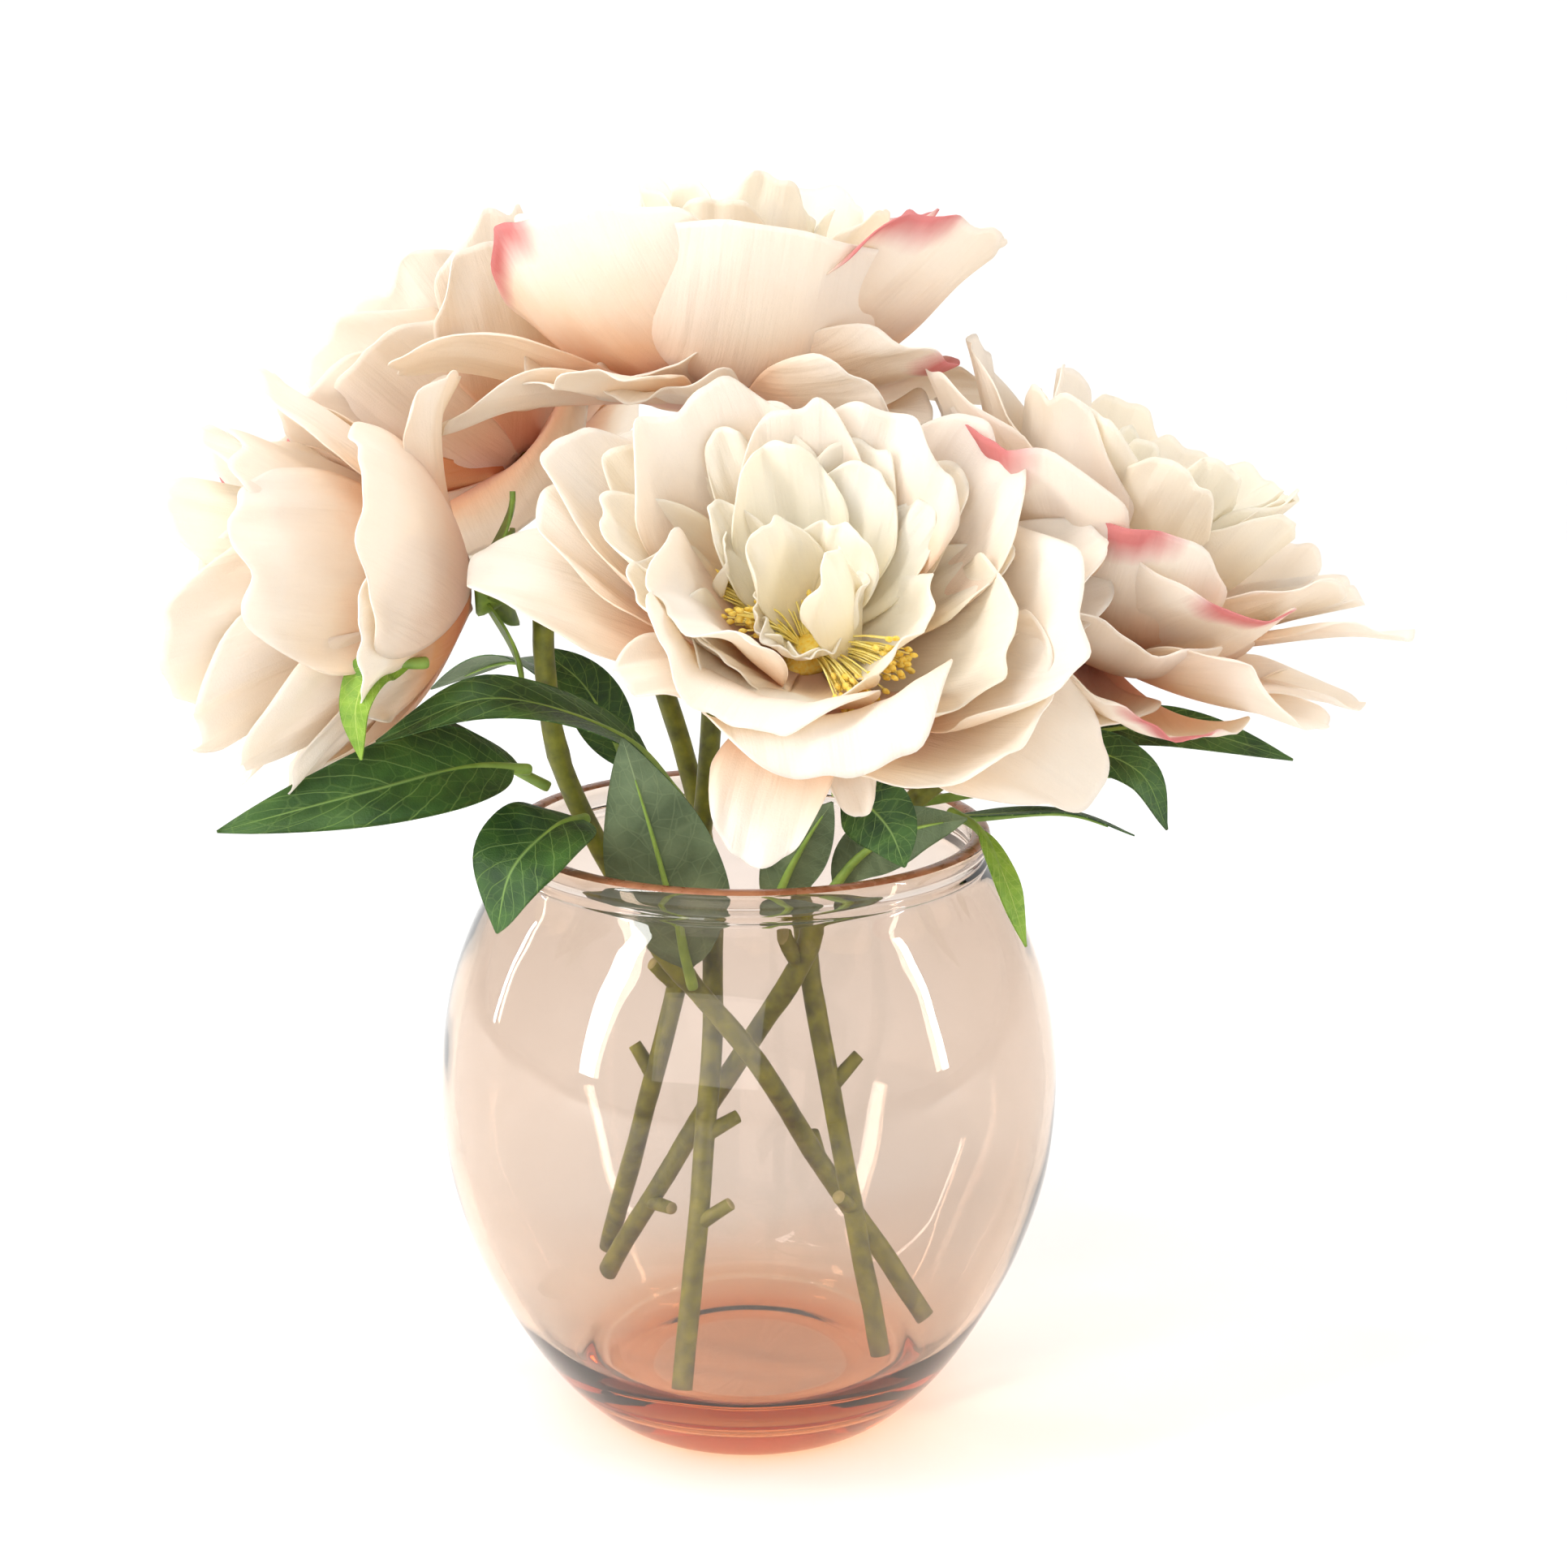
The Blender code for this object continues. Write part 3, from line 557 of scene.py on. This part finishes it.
def make_vase(glass, rim_shade):
    fine = smooth_line(in_metres((r, 0, z) for r, z in OUTSIDE + LIP + INSIDE), 5)
    section = [*in_metres((r, 0, z) for r, z in FOOT), *fine,
               *in_metres([(0, 0, INNER_FLOOR)])]
    shape = Shape()
    rings = []
    for spot in section:
        if spot.x < 1e-6:
            rings.append([shape.add(spot)])
            continue
        ring = []
        for step in range(GLASS_SIDES):
            side = flat_way(math.tau * step / GLASS_SIDES)
            place = side * spot.x + Vector((0.0, 0.0, spot.z))
            # Blown glass is never quite round: up to 0.45 mm out, but true at foot and neck.
            slack = smooth_step(0.010, 0.060, spot.z) * smooth_step(0.136, 0.110, spot.z)
            drift = noise.noise(place * 22.0) * 0.45 * MM * slack
            ring.append(shape.add(place + side * drift))
        rings.append(ring)
    shape.fan(rings[1][::-1], rings[0][0])
    for first, second, low, high in zip(rings[1:], rings[2:-1], section[1:], section[2:]):
        shape.bridge(first, second, 1 if min(low.z, high.z) > RIM_SHADE_FROM else 0, ring=True)
    shape.fan(rings[-2], rings[-1][0])
    shape.build("vase_glass", [glass, rim_shade], "pink_glass", "vase")


# ---- stems --------------------------------------------------------------------------
def ringed_tube(shape, line, radius_at, sides=14, slot=0, seed=0.0, rough=0.0, cap_slot=0):
    """A closed tube round a line; its radius and skin follow radius_at and rough."""
    rings = []
    side = heading(line, 0).orthogonal().normalized()
    for index, place in enumerate(line):
        ahead = heading(line, index)
        side = (side - ahead * side.dot(ahead)).normalized()
        up = ahead.cross(side)
        share = index / (len(line) - 1)
        ring = []
        for step in range(sides):
            angle = math.tau * step / sides
            way = side * math.cos(angle) + up * math.sin(angle)
            skin = 1.0 + rough * noise.noise(place * 260.0 + way * 0.9 + Vector((seed, 0, 0)))
            ring.append(shape.add(place + way * radius_at(share) * skin, share))
        rings.append(ring)
    shape.bridge_all(rings, slot, ring=True)
    shape.fan(rings[0][::-1], shape.add(line[0]), cap_slot)
    shape.fan(rings[-1], shape.add(line[-1]), cap_slot)


def stem_line(bloom):
    hub = Vector(BLOOMS[bloom][0]) * MM
    axis = Vector(BLOOMS[bloom][1]).normalized()
    calyx_foot = hub - axis * CALYX_DROP
    return smooth_line([*in_metres(STEMS[bloom]), calyx_foot - axis * 6 * MM],
                       9) + [calyx_foot]


def swollen_stem(share):
    """Radius along a stem, thicker at the two knuckles where leaves were snipped off."""
    knuckles = sum(math.exp(-((share - place) / 0.012) ** 2) for place in (0.46, 0.74))
    return STEM_RADIUS * (0.94 + 0.10 * knuckles)


def make_stem(bloom, skin, cut):
    line = stem_line(bloom)
    shape = Shape()
    ringed_tube(shape, line, swollen_stem, seed=len(bloom) * 3.7, rough=0.05, cap_slot=1)
    walked = [0.0]
    for start, end in zip(line, line[1:]):
        walked.append(walked[-1] + (end - start).length)
    for distance, azimuth, length in TWIGS[bloom]:
        index = next(i for i, far in enumerate(walked) if far >= distance * MM)
        start = line[index]
        along = (start - line[index - 1]).normalized()
        out = flat_way(math.radians(azimuth))
        out = ((out - along * out.dot(along)).normalized() + along * 0.7).normalized()
        end = start + out * (STEM_RADIUS + length * MM)
        twig = [start.lerp(end, step / 5) for step in range(6)]
        ringed_tube(shape, twig, lambda share: (1.9 - 0.35 * share) * MM, 10, cap_slot=1)
    shape.build(f"{bloom}_stem", [skin, cut], "stem_plastic", f"{bloom}_peony_stem")


# The calyx cup in section, as radius and height in mm; it is faintly five-lobed.
CUP = ((2.5, -9.0), (3.0, -8.6), (3.7, -7.6), (4.6, -6.0), (5.5, -4.2), (6.3, -2.4),
       (6.5, -1.2), (5.8, -0.7))
CUP_SIDES = 20


def make_calyx(bloom, skin):
    """A cup with five sepals that hang under the petals."""
    place = bloom_frame(bloom)
    shape = Shape()
    rings = []
    for radius, height in CUP:
        ring = []
        for step in range(CUP_SIDES):
            angle = math.tau * step / CUP_SIDES
            lobed = radius * (1.0 + 0.05 * math.cos(5 * angle))
            spot = flat_way(angle) * lobed + Vector((0, 0, height))
            ring.append(shape.add(place @ (spot * MM)))
        rings.append(ring)
    shape.bridge_all(rings, ring=True)
    shape.fan(rings[0][::-1], shape.add(place @ Vector((0, 0, -9.0 * MM))))
    shape.fan(rings[-1], shape.add(place @ Vector((0, 0, -0.6 * MM))))
    for sepal in range(5):
        out = flat_way(math.tau * (sepal + 0.1) / 5)
        side = Vector((-out.y, out.x, 0.0))
        long = 14.0 + 4.0 * math.sin(sepal * 2.7 + len(bloom))
        rows = []
        for step in range(9):
            reach = step / 8
            height = -3.6 - 4.4 * math.sin(reach * 1.9) - 2.0 * reach
            half = 3.9 * math.sin(math.pi * (0.18 + 0.80 * reach)) ** 0.8
            half = half * (1 - reach ** 4) + 0.15
            row = []
            for level, span in ((0.35, (-1, -0.5, 0, 0.5, 1)), (-0.35, (1, 0.5, 0, -0.5, -1))):
                for across in span:
                    spot = (out * (4.6 + long * reach) + side * across * half
                            + Vector((0, 0, height + level + 0.5 * abs(across))))
                    row.append(shape.add(place @ (spot * MM), reach, across))
            rows.append(row)
        shape.bridge_all(rows, ring=True)
        shape.face(rows[0][::-1])
        shape.face(rows[-1])
    shape.build(f"{bloom}_calyx", [skin], "calyx_plastic", f"{bloom}_peony_calyx")


# ---- petals -------------------------------------------------------------------------
PETAL_COLUMNS = 9            # each side of the midline
PETAL_ROWS = 15
MIDLINE_STEPS = 60
SECTION_STEPS = 4            # between two columns
ROLLED_FROM = 0.66           # share of the half width where a rolled edge begins


def half_section(cup, roll):
    """Points from the midline of a petal to one edge, in units of its half width."""
    count = PETAL_COLUMNS * SECTION_STEPS
    angle, x, y = 0.0, 0.0, 0.0
    side = [(0.0, 0.0)]
    for step in range(count):
        bend = math.radians(cup)
        if (step + 0.5) / count > ROLLED_FROM:
            bend -= math.radians(roll) / (1.0 - ROLLED_FROM)
        angle += bend / count
        x += math.cos(angle) / count
        y += math.sin(angle) / count
        if step % SECTION_STEPS == SECTION_STEPS - 1:
            side.append((x, y))
    return side


def midline(long, tilt, curl, flick):
    """Places and tilts along a petal's middle, whose ends lie the given way apart."""
    angles = []
    for step in range(MIDLINE_STEPS):
        t = (step + 0.5) / MIDLINE_STEPS
        angles.append(math.radians(curl * (smooth_step(0.0, 0.7, t) - 0.5)
                                   + flick * smooth_step(0.55, 1.0, t)))
    places = [(0.0, 0.0)]
    for angle in angles:
        places.append((places[-1][0] + math.cos(angle), places[-1][1] + math.sin(angle)))
    end = places[-1]
    turn = math.radians(tilt) - math.atan2(end[1], end[0])
    grow = long / math.hypot(*end)
    places = [(grow * (x * math.cos(turn) - y * math.sin(turn)),
               grow * (x * math.sin(turn) + y * math.cos(turn))) for x, y in places]
    return places, [angle + turn for angle in angles] + [angles[-1] + turn]


def tip_edge(across, seed, wild, broad):
    """How far out the edge is at a place across the petal: round, notched and lobed."""
    edge = 1.0 - ((0.30 + 0.14 * (1 - broad) + 0.08 * wild[0])
                  * abs(across + 0.10 * wild[1]) ** 2.5)
    edge -= 0.045 * broad * math.exp(-((across - 0.5 * wild[2]) * 6.0) ** 2)
    edge += (0.10 * (0.3 + 0.7 * broad)
             * noise.noise(Vector((across * 2.6, seed * 3.3, 7.0))))
    return edge + 0.022 * noise.noise(Vector((across * 8.0, seed * 3.3, 2.0)))


def petal(shape, place, spec, root, lift, seed, blush):
    """Adds one petal: a sheet of cloth along a curving midline, cupped, pleated and lobed."""
    (turn, long, wide, tilt, curl, flick, cup, roll_left, roll_right, dyed,
     own_root) = (*spec, *UNSAID[len(spec) - 7:])
    root = (own_root or root) * MM
    long, wide = long * MM, wide * MM
    middle, leans = midline(long, tilt, curl, flick)
    wild = [noise.noise(Vector((seed * 1.7, k * 5.1, 0.3))) for k in range(6)]
    broad = smooth_step(0.35, 1.0, wide / long)
    grid = []
    for row in range(PETAL_ROWS + 1):
        line = []
        share = (row / PETAL_ROWS) ** 0.92
        for column in range(-PETAL_COLUMNS, PETAL_COLUMNS + 1):
            across = column / PETAL_COLUMNS
            reach = min(max(share * tip_edge(across, seed, wild, broad), 0.0), 1.0)
            low = min(int(reach * MIDLINE_STEPS), MIDLINE_STEPS - 1)
            part = reach * MIDLINE_STEPS - low
            out_by = root + middle[low][0] * (1 - part) + middle[low + 1][0] * part
            height = lift * MM + middle[low][1] * (1 - part) + middle[low + 1][1] * part
            lean = leans[low] * (1 - part) + leans[low + 1] * part
            out = flat_way(math.radians(turn + 6.0 * wild[3] * reach))
            side = Vector((-out.y, out.x, 0.0))
            inward = out * -math.sin(lean) + Vector((0, 0, math.cos(lean)))
            twist = math.radians(14.0 * wild[4]) * reach
            side, inward = (side * math.cos(twist) + inward * math.sin(twist),
                            inward * math.cos(twist) - side * math.sin(twist))
            half = (0.5 * wide * (0.16 + 0.84 * smooth_step(-0.08, 0.66, reach))
                    * (1 - 0.06 * reach * reach))
            grown = smooth_step(0.15, 0.75, reach)
            roll = roll_left if column < 0 else roll_right
            x, y = half_section(cup * (0.5 + 0.5 * grown), roll * grown)[abs(column)]
            x = -x if column < 0 else x
            # Ruffles towards the edge, wide ones and small ones.
            rim = across ** 2 * reach + smooth_step(0.70, 1.0, share)
            wave = (noise.noise(Vector((across * 1.6, share * 1.8, seed * 2.1)))
                    * 4.5 * MM * rim * (0.4 + 0.6 * broad))
            wave += (noise.noise(Vector((across * 4.4, share * 2.6, seed * 2.9)))
                     * 1.7 * MM * rim)
            # Heat-pressed pleats fan out from the root, ridge to ridge about 9 mm.
            pleat = noise.noise(Vector((across * wide / (9.0 * MM), share * 0.8, seed * 5.3)))
            wave += pleat * 2.1 * MM * smooth_step(0.25, 0.95, share)
            point = (out * out_by + Vector((0, 0, height)) + side * x * half
                     + inward * (y * half + wave))
            dye = 0.0
            if dyed is not None:
                dye = (smooth_step(0.77, 1.0, share + 0.05 * wild[5])
                       * smooth_step(0.66, 0.22, abs(across - dyed)))
            line.append(shape.add(place @ point, reach, across, dye, blush,
                                  (across * half, reach * long, seed * 0.37)))
        grid.append(line)
    shape.bridge_all(grid)


def layer_specs(bloom, layer):
    """The petals of a layer: the listed ones, or an even round of the inner kinds."""
    if layer in PETALS[bloom]:
        return PETALS[bloom][layer]
    count, long, wide, tilt, curl, cup = INNER_LAYERS[layer]
    size = BLOOMS[bloom][2] * (0.92 if bloom == "top" else 1.0)
    closed = 0.35 if bloom == "left" else 0.0
    specs = []
    for number in range(count):
        wild = [noise.noise(Vector((number * 3.1 + layer * 9.7, len(bloom) * 2.3, k * 4.4)))
                for k in range(5)]
        turn = 360.0 * (number + 0.5 * (layer % 2)) / count + 26.0 * wild[0]
        specs.append((turn + len(bloom) * 17.0, size * long * (1 + 0.18 * wild[2]),
                      size * wide * (1 + 0.4 * wild[3]),
                      tilt + 14.0 * wild[1] + (86.0 - tilt) * closed, curl, 14.0 * wild[4],
                      cup))
    return specs


def make_petals(bloom, layer, cloth):
    place = bloom_frame(bloom)
    shape = Shape()
    root = 5.2 - 0.7 * layer
    for number, spec in enumerate(layer_specs(bloom, layer)):
        seed = number + 11.3 * layer + 47.1 * len(bloom)
        blush = 0.5 + 0.5 * noise.noise(Vector((seed * 0.9, 3.0, 1.0)))
        petal(shape, place, spec, root, layer * 1.6 + 0.12 * (number % 3), seed, blush)
    piece = shape.build(f"{bloom}_{LAYER_NAMES[layer]}", [cloth],
                        "petal_cloth" if layer < MIDDLE else "petal_cloth_inner",
                        f"{bloom}_peony_{LAYER_NAMES[layer]}")
    add_modifier(piece, "round", "SUBSURF", levels=1, render_levels=1)
    add_modifier(piece, "cloth", "SOLIDIFY", thickness=CLOTH, offset=0.0)


# ---- stamens ------------------------------------------------------------------------
# Tufts of stamens of a bloom: azimuth, distance from the middle and height in mm.
FRONT_TUFTS = ((328, 20, 15), (155, 22, 15), (177, 12, 15), (300, 18, 12), (90, 6, 13))
HIDDEN_TUFTS = ((30, 5, 15), (150, 5, 16), (270, 5, 15))
THREADS = 34                 # in a tuft


def make_stamens(bloom, thread, pollen):
    place = bloom_frame(bloom)
    shape = Shape()
    tufts = FRONT_TUFTS if bloom == "front" else HIDDEN_TUFTS
    for tuft, (azimuth, far, high) in enumerate(tufts):
        for number in range(1, THREADS + 1):
            seed = tuft * THREADS + number
            wild = [noise.noise(Vector((seed * 2.3, k * 3.9, len(bloom) * 1.3)))
                    for k in range(3)]
            way = flat_way(math.radians(azimuth) + 6.6 * wild[0] / far)
            tip = way * (far + 6.0 * wild[1]) + Vector((0, 0, high + 7.0 * wild[2]))
            foot = way * 1.5 + Vector((0, 0, 7.0))
            bow = foot.lerp(tip, 0.55) + Vector((0, 0, 2.0))
            line = [place @ spot for spot in smooth_line(in_metres((foot, bow, tip)), 3)]
            ringed_tube(shape, line, lambda share: 0.20 * MM, 5)
            head = heading(line, len(line) - 1)
            grain = [line[-1] + head * step * 0.42 * MM for step in range(-1, 4)]
            ringed_tube(shape, grain,
                        lambda share: (0.25 + 0.40 * math.sin(math.pi * share)) * MM,
                        6, slot=1, seed=seed, rough=0.5, cap_slot=1)
    # The moulded button that holds the threads and the petals together.
    button = [place @ Vector((0.0, 0.0, (4.5 + step) * MM)) for step in range(5)]
    ringed_tube(shape, button, lambda share: (1.2 + 4.6 * math.sqrt(1.0 - share)) * MM, 18,
                slot=1, seed=3.0, rough=0.5, cap_slot=1)
    shape.build(f"{bloom}_stamens", [thread, pollen], "stamen_thread",
                f"{bloom}_peony_stamens")


# ---- leaves -------------------------------------------------------------------------
LEAF_COLUMNS = 5             # each side of the midrib
HALF_LEAF = 0.15 * MM        # half the thickness of the cloth with its backing


def make_leaf(name, printed, backing, rib):
    points, width, upper, stalk = LEAVES[name]
    line = smooth_line(in_metres(points), 10)
    upper = Vector(upper).normalized()
    shape = Shape()
    seed = sum(ord(letter) for letter in name) * 0.13
    tops, bottoms = [], []
    for index, place in enumerate(line):
        share = index / (len(line) - 1)
        ahead = heading(line, index)
        side = ahead.cross(upper).normalized()
        normal = side.cross(ahead).normalized()
        along = max((share - stalk) / (1.0 - stalk), 0.0)
        half = 0.5 * width * MM * math.sin(math.pi * min(along, 0.9999) ** 0.80) ** 0.85
        half = max(half, 0.5 * MM if share <= stalk else 0.25 * MM)
        top, bottom = [], []
        for column in range(-LEAF_COLUMNS, LEAF_COLUMNS + 1):
            across = column / LEAF_COLUMNS
            sag = 0.30 * abs(across) - 0.16 * across ** 2
            wave = noise.noise(Vector((across * 1.2, share * 3.6, seed))) * 0.16 * abs(across)
            spot = place + side * across * half + normal * half * (sag + wave)
            lay = (across * half, share * 0.07, seed)
            top.append(shape.add(spot + normal * HALF_LEAF, along, across, lay=lay))
            bottom.append(shape.add(spot - normal * HALF_LEAF, along, across, lay=lay))
        tops.append(top)
        bottoms.append(bottom)
    shape.bridge_all(tops)
    shape.bridge_all([row[::-1] for row in bottoms], 1)
    for edge, rims in ((0, (bottoms, tops)), (-1, (tops, bottoms))):
        shape.bridge(*[[row[edge] for row in rows] for rows in rims])
    shape.bridge(tops[0], bottoms[0])
    shape.bridge(bottoms[-1], tops[-1])
    # The stalk is a moulded wire that runs on under the blade as its midrib.
    spine = [place - upper * 0.35 * MM for place in line[:int(len(line) * 0.9)]]
    ringed_tube(shape, spine, lambda share: (1.45 - 1.25 * share) * MM, 8, slot=2, cap_slot=2)
    piece = shape.build(name.replace("leaf", "cloth_leaf"), [printed, backing, rib],
                        "leaf_cloth", name)
    add_modifier(piece, "round", "SUBSURF", levels=1, render_levels=1)


# ---- studio -------------------------------------------------------------------------
SHEET_BENDS_AT = 1.2         # how far behind the middle the paper starts to curve up
SHEET_BEND = 0.7             # radius of its curve


def make_sheet():
    """Background paper that runs along the floor and curves up behind."""
    shape = Shape()
    rows = []
    for step in range(64):
        y, z = -1.6 + step * 0.09, 0.0
        past = y - SHEET_BENDS_AT
        if past >= 0.0:
            turn = min(past / SHEET_BEND, math.pi / 2)
            y = SHEET_BENDS_AT + SHEET_BEND * math.sin(turn)
            z = (SHEET_BEND * (1.0 - math.cos(turn))
                 + max(past - SHEET_BEND * math.pi / 2, 0.0))
        rows.append([shape.add((x * 0.5, y, z)) for x in range(5, -6, -1)])
    shape.bridge_all(rows)
    sheet = place_object("background_sheet", shape.mesh("background_sheet",
                                                        [background_paper()]))


def add_softbox(name, place, aim, size, watts):
    data = bpy.data.lights.new(name, "AREA")
    data.shape = "RECTANGLE"
    data.size, data.size_y = size
    data.energy = watts
    lamp = place_object(name, data)
    lamp.location = place
    lamp.rotation_euler = (Vector(aim) - Vector(place)).to_track_quat("-Z", "Y").to_euler()


def light_studio():
    scene = bpy.context.scene
    world = bpy.data.worlds.new("studio_white")
    world.use_nodes = True
    tree = world.node_tree
    # White walls all round, and a dimmer ceiling.
    place = add_node(tree, "ShaderNodeTexCoord", {}).outputs["Generated"]
    height = add_node(tree, "ShaderNodeSeparateXYZ", {"Vector": place}).outputs["Z"]
    set_up(tree, tree.nodes["Background"], {
        "Color": ramp(tree, height, (0.05, 0.82), (0.42, 0.57)), "Strength": 1.0})
    scene.world = world
    add_softbox("window_left", (-0.85, -0.53, 0.65), (0.0, 0.0, 0.13), (0.14, 1.1), 8.0)
    add_softbox("strip_right", (0.90, -0.25, 0.50), (0.0, 0.0, 0.10), (0.06, 0.9), 3.4)
    add_softbox("rim_left", (-0.95, 0.30, 0.50), (0.0, 0.0, 0.10), (0.03, 0.9), 1.7)
    add_softbox("overhead", (-0.35, -0.30, 1.3), (0.0, 0.0, 0.2), (0.5, 0.5), 4.7)
    add_softbox("front_fill", (-0.30, -1.2, 0.55), (0.0, 0.0, 0.2), (0.9, 0.7), 2.9)
    add_softbox("backdrop_light", (0.0, 0.8, 1.6), (0.0, 1.5, 0.3), (1.8, 1.0), 7.0)
    scene.view_settings.view_transform = "Standard"
    scene.view_settings.look = "None"


def place_camera():
    data = bpy.data.cameras.new("camera")
    data.lens = 62.42
    data.sensor_width = 36.0
    camera = place_object("camera", data)
    camera.location = (0.00795, -0.5865, 0.2965)
    camera.rotation_euler = (math.radians(90.0 - 14.3), 0.0, 0.0)
    bpy.context.scene.camera = camera


def build():
    place_camera()
    light_studio()
    make_sheet()
    # Painted shade on the lip: a brown band that stands for the dark look of light passing
    # through the thick glass rim.
    rim_shade = mottled_skin("painted_lip_shade", "#8a5236", "#b9805c", 0.22)
    make_vase(blush_glass(), rim_shade)
    # Injection-moulded polyethylene: soft highlights on stems, calyces and leaf wires.
    skin = mottled_skin("olive_coated_stem", "#4f520e", "#8a8d24", 0.42)
    cut = mottled_skin("cut_stem_end", "#8f8a4c", "#b8b27a", 0.6)
    green_cup = mottled_skin("calyx_polyethylene", "#4f6a1e", "#86a23a", 0.45)
    rib = mottled_skin("leaf_wire_coating", "#6f8f36", "#93b04e", 0.45)
    # Dyed nylon thread and anthers dipped in flock: dull, and uneven like pollen.
    thread = mottled_skin("dyed_stamen_thread", "#f6dc62", "#fdf0a0", 0.7, 0.002)
    pollen = mottled_skin("flocked_anther", "#f9cc3c", "#ffec8a", 0.9, 0.0008)
    # Three dye baths of petal cloth: the outer ones peach towards the root, partly dye and
    # partly painted shade in the creases; the inner yellow.
    ivory = petal_cloth("ivory_petal_cloth", "#fcf5ea", (0.26, "#e7822a"),
                        (0.50, "#f3b870"), (0.72, "#faead3"), (0.93, "#fefcf7"))
    cream = petal_cloth("cream_petal_cloth", "#fdf8ea", (0.24, "#ec9430"),
                        (0.48, "#f6c878"), (0.73, "#fbf0d4"), (0.95, "#fefdf6"))
    butter = petal_cloth("butter_petal_cloth", "#fdfbee", (0.12, "#f4cb6c"),
                         (0.36, "#f9e8ac"), (0.66, "#fcf8e4"), (0.92, "#fefdf7"))
    printed = leaf_print("printed_leaf_cloth", "#1f3c19", "#416628", "#84a456", 0.42)
    # A lighter green copy of the same print: painted light for the brightly lit leaves.
    lit_leaf_print = leaf_print("painted_lit_leaf_cloth", "#5c8420", "#8fb03a", "#bcd06c", 0.42)
    backing = leaf_print("grey_leaf_backing", "#4d5e42", "#70825f", "#90a276", 0.6, 0.25)
    for bloom in BLOOMS:
        make_stem(bloom, skin, cut)
        make_calyx(bloom, green_cup)
        for layer, cloth in enumerate((ivory, ivory, cream, butter, butter)):
            make_petals(bloom, layer, cloth)
        make_stamens(bloom, thread, pollen)
    for name in LEAVES:
        make_leaf(name, lit_leaf_print if name in LIT_LEAVES else printed, backing, rib)


build()
